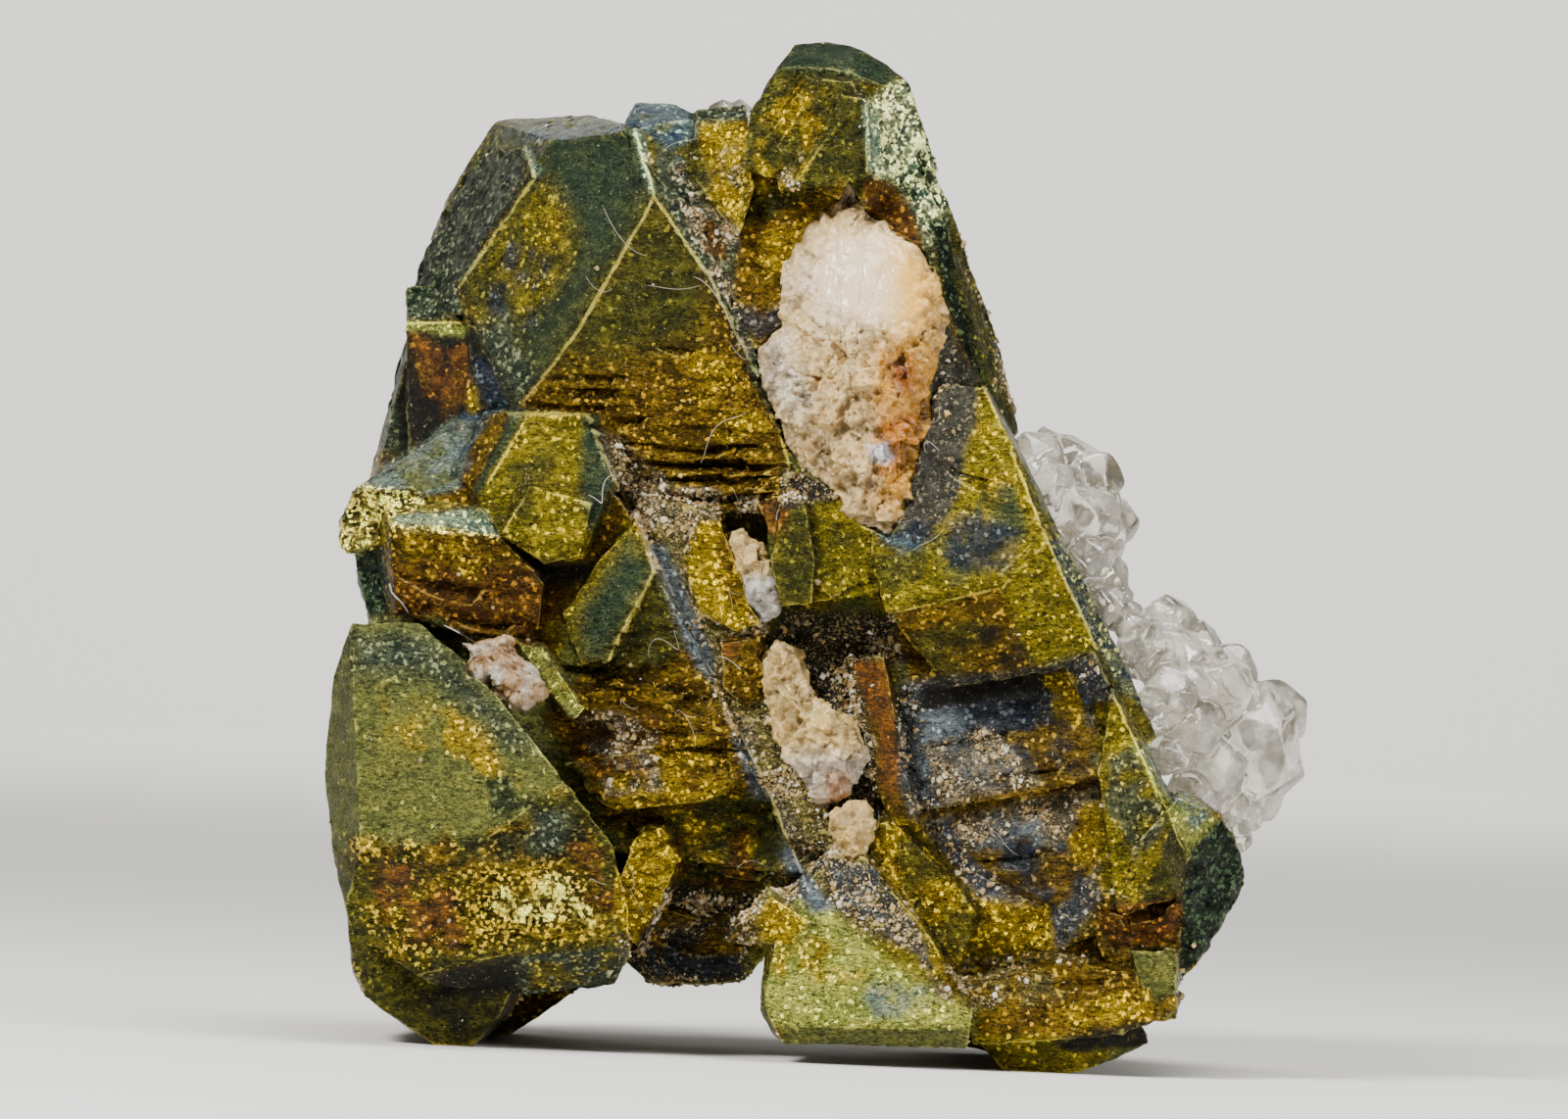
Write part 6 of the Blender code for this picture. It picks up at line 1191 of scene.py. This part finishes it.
def quartz_crystal(middle, radius, axis, length, seed):
    """One crystal as radius(direction) = 1 / (sum over faces of (n.u / h)^p)^(1/p): six prism faces
    and six sloping ones at each end, with slightly uneven distances h, on a latitude and longitude
    grid whose poles are single points."""
    rows, columns, power = 40, 60, 60.0
    lat = np.linspace(0, math.pi, rows)[1:-1]
    lon = np.arange(columns) * 2 * math.pi / columns
    lat, lon = np.meshgrid(lat, lon, indexing="ij")
    ways = np.column_stack([
        (np.sin(lat) * np.cos(lon)).ravel(), (np.sin(lat) * np.sin(lon)).ravel(),
        np.cos(lat).ravel()])
    ways = np.vstack([ways, [[0, 0, 1], [0, 0, -1]]])
    turn = np.arange(6) * math.pi / 3
    prism = np.column_stack([np.cos(turn), np.sin(turn), 0 * turn])
    steep = math.radians(52)
    tip = np.column_stack([np.cos(turn) * math.cos(steep), np.sin(turn) * math.cos(steep),
                           0 * turn + math.sin(steep)])
    faces = np.vstack([prism, tip, tip * [1, 1, -1]])
    uneven = hashed(np.arange(18), 0 * np.arange(18), 0 * np.arange(18), seed)
    far = np.concatenate([np.full(6, 0.9), np.full(12, 0.86 * length)]) * (0.86 + 0.3 * uneven)
    toward = np.maximum(ways @ faces.T, 0) / far
    reach = radius / (toward ** power).sum(axis=1) ** (1 / power)
    long_way = Vector((axis[0], -axis[2], axis[1])).normalized()
    spin = Matrix.Rotation(uneven[0] * 6, 3, "Z")
    turned = np.array(long_way.to_track_quat("Z", "Y").to_matrix() @ spin)
    points = (ways * reach[:, None]) @ turned.T + np.array([middle[0], -middle[2], middle[1]])
    i, j = np.meshgrid(np.arange(rows - 3), np.arange(columns), indexing="ij")
    a = (i * columns + j).ravel()
    b = (i * columns + (j + 1) % columns).ravel()
    c, d = a + columns, b + columns
    north, south = (rows - 2) * columns, (rows - 2) * columns + 1
    ring = np.arange(columns)
    last = (rows - 3) * columns
    triangles = np.vstack([
        np.column_stack([a, c, d]), np.column_stack([a, d, b]),
        np.column_stack([np.full(columns, north), ring, (ring + 1) % columns]),
        np.column_stack([np.full(columns, south), last + (ring + 1) % columns, last + ring])])
    return points, triangles


def joined(shapes):
    """Several (points, triangles) as one."""
    points = np.vstack([p for p, _ in shapes])
    starts = np.cumsum([0] + [len(p) for p, _ in shapes[:-1]])
    triangles = np.vstack([t + s for (_, t), s in zip(shapes, starts)])
    return points, triangles


def grown_together(points, triangles, size):
    """One closed skin round overlapping crystals, from a voxel remesh, as points and triangles.
    Light then passes through clear crystals without meeting the walls inside them."""
    mesh = bpy.data.meshes.new("joined")
    mesh.from_pydata(to_scene(points).tolist(), [], triangles.tolist())
    holder = bpy.data.objects.new("joined", mesh)
    bpy.context.scene.collection.objects.link(holder)
    remesh = holder.modifiers.new("Skin", "REMESH")
    remesh.mode = "VOXEL"
    remesh.voxel_size = size * MM
    remesh.adaptivity = 0.0
    graph = bpy.context.evaluated_depsgraph_get()
    skin = bpy.data.meshes.new_from_object(holder.evaluated_get(graph))
    points, triangles = read_mesh(skin)
    bpy.data.objects.remove(holder)
    bpy.data.meshes.remove(mesh)
    bpy.data.meshes.remove(skin)
    return to_plane(points), triangles


def dressed_quartz(size):
    """The quartz groups: crystals from quartz_crystal, joined, smoothed a little, and given the
    faint steps of growth."""
    material = clear_quartz()
    for name, node, crystals, seed in (("quartz_group_upper", "quartz_upper", UPPER_QUARTZ, 100),
                                       ("quartz_group_lower", "quartz_lower", LOWER_QUARTZ, 200),
                                       ("quartz_points_top", "quartz_tip", TIP_QUARTZ, 300)):
        shapes = [quartz_crystal(*crystal, seed + k) for k, crystal in enumerate(crystals)]
        fine = size if len(crystals) > 10 else size * 0.6
        points, triangles = grown_together(*joined(shapes), fine)
        edges, _ = edge_list(triangles, len(points))
        for _ in range(2):
            points = points + (neighbour_mean(points, edges) - points) * 0.5
        normals = normals_of(points, triangles)
        points = points + normals * (0.02 * fractal(points, 0.6, 2, 81))[:, None]
        new_piece(name, points, triangles, material, "quartz", [node])

    points, triangles = merged("quartz_seam")
    points, triangles = refine(points, triangles, lambda middle, facing: np.full(len(middle), 0.08))
    normals = normals_of(points, triangles)
    relief = 0.8 * crumbly(points, 83) + 0.08
    sideways = normals * [1, 0, 1] * (0.05 + 0.3 * noise(points, 0.9, 84))[:, None]
    moved = points + sideways + normals * (relief * smooth(-0.9, 0.2, -normals[:, 1]))[:, None]
    seam = new_piece("quartz_vein", moved, triangles, cleaved_calcite("Quartz, milky vein", 0.2),
                     "quartz", ["quartz_seam"])
    # Painted shade: the vein darkens to 0.75 where its relief sinks.
    shade = 0.75 + 0.25 * smooth(-0.1, 0.3, relief)
    stain = smooth(-0.05, 0.35, fractal(points, 1.2, 3, 85))
    tint = mixed(np.tile(linear("c9bda8"), (len(points), 1)), "a07c4e", stain)
    paint(seam, "tint", tint * shade[:, None])
    paint(seam, "finish", np.full((len(points), 3), 0.8))


def strewn_grains(crystals, count):
    """Sugary grains: small jittered eight-cornered blocks, partly sunk, strewn over the crystals
    where they are dusty and on ledges that face up."""
    rng = np.random.default_rng(7)
    mesh = crystals.data
    points, triangles = read_mesh(mesh)
    points = to_plane(points)
    finish = np.empty(len(mesh.vertices) * 4, np.float32)
    mesh.attributes["finish"].data.foreach_get("color", finish)
    dust = finish.reshape(-1, 4)[:, 1]
    a, b, c = (points[triangles[:, i]] for i in range(3))
    face = np.cross(b - a, c - a)
    area = np.maximum(np.linalg.norm(face, axis=1), 1e-12)
    amount = np.maximum(dust[triangles].mean(axis=1) - 0.10, 0)
    patchy = smooth(-0.3, 0.35, fractal((a + b + c) / 3, 1.3, 3, 91))
    weight = (area * (amount ** 1.4 + 0.0006) * (0.05 + patchy ** 2)
              * (1 + 0.8 * np.maximum(face[:, 2] / area, 0)))
    weight *= smooth(0.75, 0.1, face[:, 1] / area) * smooth(0.5, 1.0, to_scene(a)[:, 2] / MM)
    chosen = rng.choice(len(triangles), count, p=weight / weight.sum())
    u, v = rng.random(count), rng.random(count)
    flip = u + v > 1
    u, v = np.where(flip, 1 - u, u), np.where(flip, 1 - v, v)
    place = a[chosen] + (b - a)[chosen] * u[:, None] + (c - a)[chosen] * v[:, None]
    size = 0.022 + 0.085 * rng.random(count) ** 3.5
    place = place + (face[chosen] / area[chosen][:, None]) * (size * 0.3)[:, None]
    corner = np.array([[x, y, z] for x in (-1, 1) for y in (-1, 1) for z in (-1, 1)], float)
    sides = np.array([[0, 1, 3], [0, 3, 2], [4, 6, 7], [4, 7, 5], [0, 4, 5], [0, 5, 1],
                      [2, 3, 7], [2, 7, 6], [0, 2, 6], [0, 6, 4], [1, 5, 7], [1, 7, 3]])
    jitter = corner[None] * (0.45 + 0.55 * rng.random((count, 8, 3)))
    turn = np.linalg.qr(rng.normal(size=(count, 3, 3)))[0]
    turn *= np.sign(np.linalg.det(turn))[:, None, None]
    stretch = 0.35 + 1.15 * rng.random((count, 1, 3))
    blocks = (np.einsum("nij,nkj->nki", turn, jitter * stretch) * size[:, None, None]
              + place[:, None])
    faces = sides[None] + (np.arange(count) * 8)[:, None, None]
    piece = new_piece("sugar_grains", blocks.reshape(-1, 3), faces.reshape(-1, 3),
                      sugar_grains(), "quartz")
    piece.data.shade_flat()
    shades = np.array([linear(s) for s in ("c9b68c", "b0945c", "d9cfb6", "8f754a", "c4a468")])
    tint = shades[rng.integers(0, len(shades), count)] * (0.7 + 0.4 * rng.random((count, 1)))
    paint(piece, "tint", np.repeat(tint, 8, axis=0))


# Threads of lint placed one by one: start (x, z), the way to its end, how far it bends, radius.
THREADS = [((-15.0, 17.9), (2.8, -1.8), 0.08, 0.045), ((-17.0, 19.6), (0.5, -1.4), 0.30, 0.022),
           ((-16.6, 19.1), (-0.8, 0.3), 0.30, 0.020), ((-9.5, 22.9), (1.6, 0.7), 0.35, 0.020),
           ((-4.8, 31.8), (1.4, -2.0), 0.25, 0.014), ((-4.2, 16.2), (0.9, 0.5), 0.45, 0.014)]


def laid_lint(crystals, count):
    """Lint: threads along place(t) = start + way t + bend (sin(wave t + phase), cos(1.3 wave t +
    phase)), lying on the front of the crystals, each a three-sided tube that tapers to its ends."""
    rng = np.random.default_rng(11)
    tree = BVHTree.FromObject(crystals, bpy.context.evaluated_depsgraph_get())
    toward = Vector(
        to_scene(np.array([[0.0, 1.0, 0.0]]))[0] - to_scene(np.zeros((1, 3)))[0]).normalized()
    steps = np.linspace(0, 1, THREAD_POINTS)
    threads = THREADS + [((rng.uniform(-9, 8), rng.uniform(4, 37)), rng.normal(0, 1.0, 2),
                          rng.uniform(0.1, 0.45), rng.uniform(0.006, 0.011)) for _ in range(count)]
    shapes = []
    for start, way, bend, radius in threads:
        wave, phase = rng.uniform(2, 7), rng.uniform(0, 6)
        x = start[0] + way[0] * steps + bend * np.sin(wave * steps + phase)
        z = start[1] + way[1] * steps + bend * np.cos(1.3 * wave * steps + phase)
        origins = to_scene(np.column_stack([x, np.full(THREAD_POINTS, -RAY_START), z]))
        found = [tree.ray_cast(Vector(origin), toward)[0] for origin in origins]
        if any(place is None for place in found):
            continue
        y = to_plane(np.array([tuple(place) for place in found]))[:, 1]
        high = np.array([y[max(i - 3, 0):i + 4].min() for i in range(THREAD_POINTS)])
        high = np.convolve(np.pad(high, 3, mode="edge"), np.full(7, 1 / 7), "valid") - 2 * radius
        path = np.column_stack([x, high, z])
        ahead = np.gradient(path, axis=0)
        ahead /= np.linalg.norm(ahead, axis=1, keepdims=True)
        side = np.cross(ahead, [0.0, 1.0, 0.0])
        side /= np.maximum(np.linalg.norm(side, axis=1, keepdims=True), 1e-9)
        out = np.cross(side, ahead)
        thick = radius * (0.15 + 0.85 * np.sin(math.pi * steps) ** 0.35)
        rings = [path + thick[:, None] * (side * math.cos(turn) + out * math.sin(turn))
                 for turn in (0, 2 * math.pi / 3, 4 * math.pi / 3)]
        points = np.stack(rings, axis=1).reshape(-1, 3)
        i, k = np.meshgrid(np.arange(THREAD_POINTS - 1), np.arange(3), indexing="ij")
        p, q = (i * 3 + k).ravel(), (i * 3 + (k + 1) % 3).ravel()
        end = 3 * (THREAD_POINTS - 1)
        triangles = np.vstack([np.column_stack([p, q, p + 3]), np.column_stack([q, q + 3, p + 3]),
                               [[0, 2, 1], [end, end + 1, end + 2]]])
        shapes.append((points, triangles))
    if shapes:
        new_piece("lint_threads", *joined(shapes), lint(), "quartz")


def stage(paper_tone, key, fill):
    """A sweep of paper under and behind the specimen, soft lights and the camera. The sweep's
    profile is a level floor, a quarter circle and a wall, carried along x."""
    bend, back, wide, tall = 300.0, 1100.0, 1400.0, 900.0
    angle = np.linspace(0, math.pi / 2, 24)
    floor = np.column_stack([np.linspace(-1200, back - bend, 12)[:-1], np.zeros(11)])
    curve = np.column_stack([back - bend + bend * np.sin(angle), bend - bend * np.cos(angle)])
    wall = np.column_stack([np.full(6, back), np.linspace(bend, tall, 7)[1:]])
    profile = np.vstack([floor, curve, wall])
    across = np.linspace(-wide, wide, 9)
    i, j = np.meshgrid(np.arange(len(profile)), np.arange(len(across)), indexing="ij")
    points = np.column_stack([across[j.ravel()], profile[i.ravel(), 0], profile[i.ravel(), 1]])
    i, j = np.meshgrid(np.arange(len(profile) - 1), np.arange(len(across) - 1), indexing="ij")
    a = (i * len(across) + j).ravel()
    quads = np.column_stack([a, a + 1, a + len(across) + 1, a + len(across)])
    mesh = bpy.data.meshes.new("paper_sweep")
    mesh.from_pydata((points * MM).tolist(), [], quads.tolist())
    mesh.shade_smooth()
    mesh.materials.append(studio_paper())
    sweep = bpy.data.objects.new("paper_sweep", mesh)
    bpy.context.scene.collection.objects.link(sweep)

    world = bpy.data.worlds.new("Pale studio")
    world.use_nodes = True
    world.node_tree.nodes["Background"].inputs["Color"].default_value = (*paper_tone, 1.0)
    world.node_tree.nodes["Background"].inputs["Strength"].default_value = fill
    bpy.context.scene.world = world
    for name, place, size, power in (("Softbox, upper left", (-190, -230, 260), 100, 2.4),
                                     ("Softbox, top", (60, -60, 340), 200, 1.3),
                                     ("Strip, right", (300, -160, 120), 80, 0.6),
                                     ("Softbox, backdrop", (0, 600, 560), 300, 6.2)):
        lamp = bpy.data.lights.new(name, "AREA")
        lamp.size = size * MM
        lamp.energy = power * key
        light = bpy.data.objects.new(name, lamp)
        at = Vector(place) * MM
        aim = Vector((0, 1.1, 0.15)) if "backdrop" in name else Vector((0, 0, 0.02))
        light.matrix_world = Matrix.Translation(at) @ (
            aim - at).to_track_quat("-Z", "Y").to_matrix().to_4x4()
        bpy.context.scene.collection.objects.link(light)

    lens = bpy.data.cameras.new("Camera")
    lens.sensor_width = SENSOR
    lens.lens = SENSOR * CAMERA_DISTANCE / PICTURE_WIDTH
    lens.clip_start, lens.clip_end = 0.01, 10.0
    camera = bpy.data.objects.new("Camera", lens)
    place = to_scene(np.array([[PICTURE_MIDDLE[0], -CAMERA_DISTANCE, PICTURE_MIDDLE[1]]]))[0]
    camera.matrix_world = (Matrix.Translation(Vector(place)) @ Matrix.Rotation(-STAND_TURN, 4, "Y")
                           @ Matrix.Rotation(math.pi / 2, 4, "X"))
    bpy.context.scene.collection.objects.link(camera)
    bpy.context.scene.camera = camera


def size_property(name, description, default):
    """A length in the panel, in metres as the scene has them."""
    return bpy.props.FloatProperty(name=name, description=description, default=default * MM,
                                   min=0.0, precision=5, unit="LENGTH", subtype="DISTANCE")


class CrystalSettings(bpy.types.PropertyGroup):
    """What a user would change on the chalcopyrite."""

    detail: size_property("Detail", "Longest edge of the mesh on the display side", 0.2)
    relief: bpy.props.FloatProperty(
        name="Relief", description="How strongly bumps and ledges stand out", default=1.0,
        min=0.0, max=2.0, subtype="FACTOR")
    dust: bpy.props.FloatProperty(
        name="Dust", description="How much sugary dust lies on the crystals", default=1.0,
        min=0.0, max=2.0, subtype="FACTOR")


class MineralSettings(bpy.types.PropertyGroup):
    """What a user would change on the calcite, quartz and grains."""

    calcite_detail: size_property("Calcite detail", "Longest edge of the calcite's mesh", 0.12)
    quartz_detail: size_property("Quartz detail", "Voxel size that joins the quartz crystals", 0.1)
    grains: bpy.props.IntProperty(
        name="Grains", description="How many sugary grains are strewn", default=15000, min=1,
        max=16000)
    threads: bpy.props.IntProperty(
        name="Threads", description="How many thin threads of lint lie scattered",
        default=34, min=0, max=200)


class StudioSettings(bpy.types.PropertyGroup):
    """What a user would change on the stage."""

    tone: bpy.props.FloatVectorProperty(
        name="Surroundings", description="Colour of the light from all round", size=3,
        default=(1.0, 1.0, 1.0), min=0.0, max=1.0, subtype="COLOR")
    key: bpy.props.FloatProperty(
        name="Softboxes", description="Strength of the soft lights", default=1.0, min=0.0,
        subtype="POWER", unit="POWER")
    fill: bpy.props.FloatProperty(
        name="Fill", description="Strength of the light from all round", default=0.22, min=0.0)


class SPECIMEN_OT_crystals(bpy.types.Operator):
    """Dress the chalcopyrite crystals"""

    bl_idname = "specimen.crystals"
    bl_label = "Chalcopyrite"

    def execute(self, context):
        settings = context.scene.specimen_crystals
        dressed_cluster(settings.detail / MM, settings.relief, settings.dust)
        return {"FINISHED"}


class SPECIMEN_OT_grains(bpy.types.Operator):
    """Strew the sugary grains over the crystals and lay the lint on them"""

    bl_idname = "specimen.grains"
    bl_label = "Grains and lint"

    def execute(self, context):
        minerals = context.scene.specimen_minerals
        crystals = bpy.data.objects["chalcopyrite_crystals"]
        strewn_grains(crystals, minerals.grains)
        laid_lint(crystals, minerals.threads)
        return {"FINISHED"}


class SPECIMEN_OT_calcite(bpy.types.Operator):
    """Dress the calcite crust and veins"""

    bl_idname = "specimen.calcite"
    bl_label = "Calcite"

    def execute(self, context):
        dressed_calcite(context.scene.specimen_minerals.calcite_detail / MM)
        return {"FINISHED"}


class SPECIMEN_OT_quartz(bpy.types.Operator):
    """Grow the quartz groups"""

    bl_idname = "specimen.quartz"
    bl_label = "Quartz"

    def execute(self, context):
        dressed_quartz(context.scene.specimen_minerals.quartz_detail / MM)
        return {"FINISHED"}


class SPECIMEN_OT_stage(bpy.types.Operator):
    """Set up the paper sweep, the lights and the camera"""

    bl_idname = "specimen.stage"
    bl_label = "Stage"

    def execute(self, context):
        studio = context.scene.specimen_studio
        stage(tuple(studio.tone), studio.key, studio.fill)
        return {"FINISHED"}


class SPECIMEN_PT_panel(bpy.types.Panel):
    """Lists the settings and steps of the specimen"""

    bl_idname = "SPECIMEN_PT_panel"
    bl_label = "Specimen"
    bl_space_type = "VIEW_3D"
    bl_region_type = "UI"
    bl_category = "Specimen"

    def draw(self, context):
        scene = context.scene
        for group, names, steps in (
                (scene.specimen_crystals, ("detail", "relief", "dust"), ("specimen.crystals",)),
                (scene.specimen_minerals, ("calcite_detail", "quartz_detail", "grains", "threads"),
                 ("specimen.grains", "specimen.calcite", "specimen.quartz")),
                (scene.specimen_studio, ("tone", "key", "fill"), ("specimen.stage",))):
            box = self.layout.box()
            for name in names:
                box.prop(group, name)
            for step in steps:
                box.operator(step)


CLASSES = (CrystalSettings, MineralSettings, StudioSettings,
           SPECIMEN_OT_crystals, SPECIMEN_OT_grains, SPECIMEN_OT_calcite,
           SPECIMEN_OT_quartz, SPECIMEN_OT_stage, SPECIMEN_PT_panel)


def register():
    for each in CLASSES:
        bpy.utils.register_class(each)
    bpy.types.Scene.specimen_crystals = bpy.props.PointerProperty(type=CrystalSettings)
    bpy.types.Scene.specimen_minerals = bpy.props.PointerProperty(type=MineralSettings)
    bpy.types.Scene.specimen_studio = bpy.props.PointerProperty(type=StudioSettings)


def unregister():
    del bpy.types.Scene.specimen_studio
    del bpy.types.Scene.specimen_minerals
    del bpy.types.Scene.specimen_crystals
    for each in reversed(CLASSES):
        bpy.utils.unregister_class(each)


def main():
    """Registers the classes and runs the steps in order."""
    register()
    bpy.ops.specimen.crystals()
    bpy.ops.specimen.grains()
    bpy.ops.specimen.calcite()
    bpy.ops.specimen.quartz()
    bpy.ops.specimen.stage()


if __name__ == "__main__":
    main()
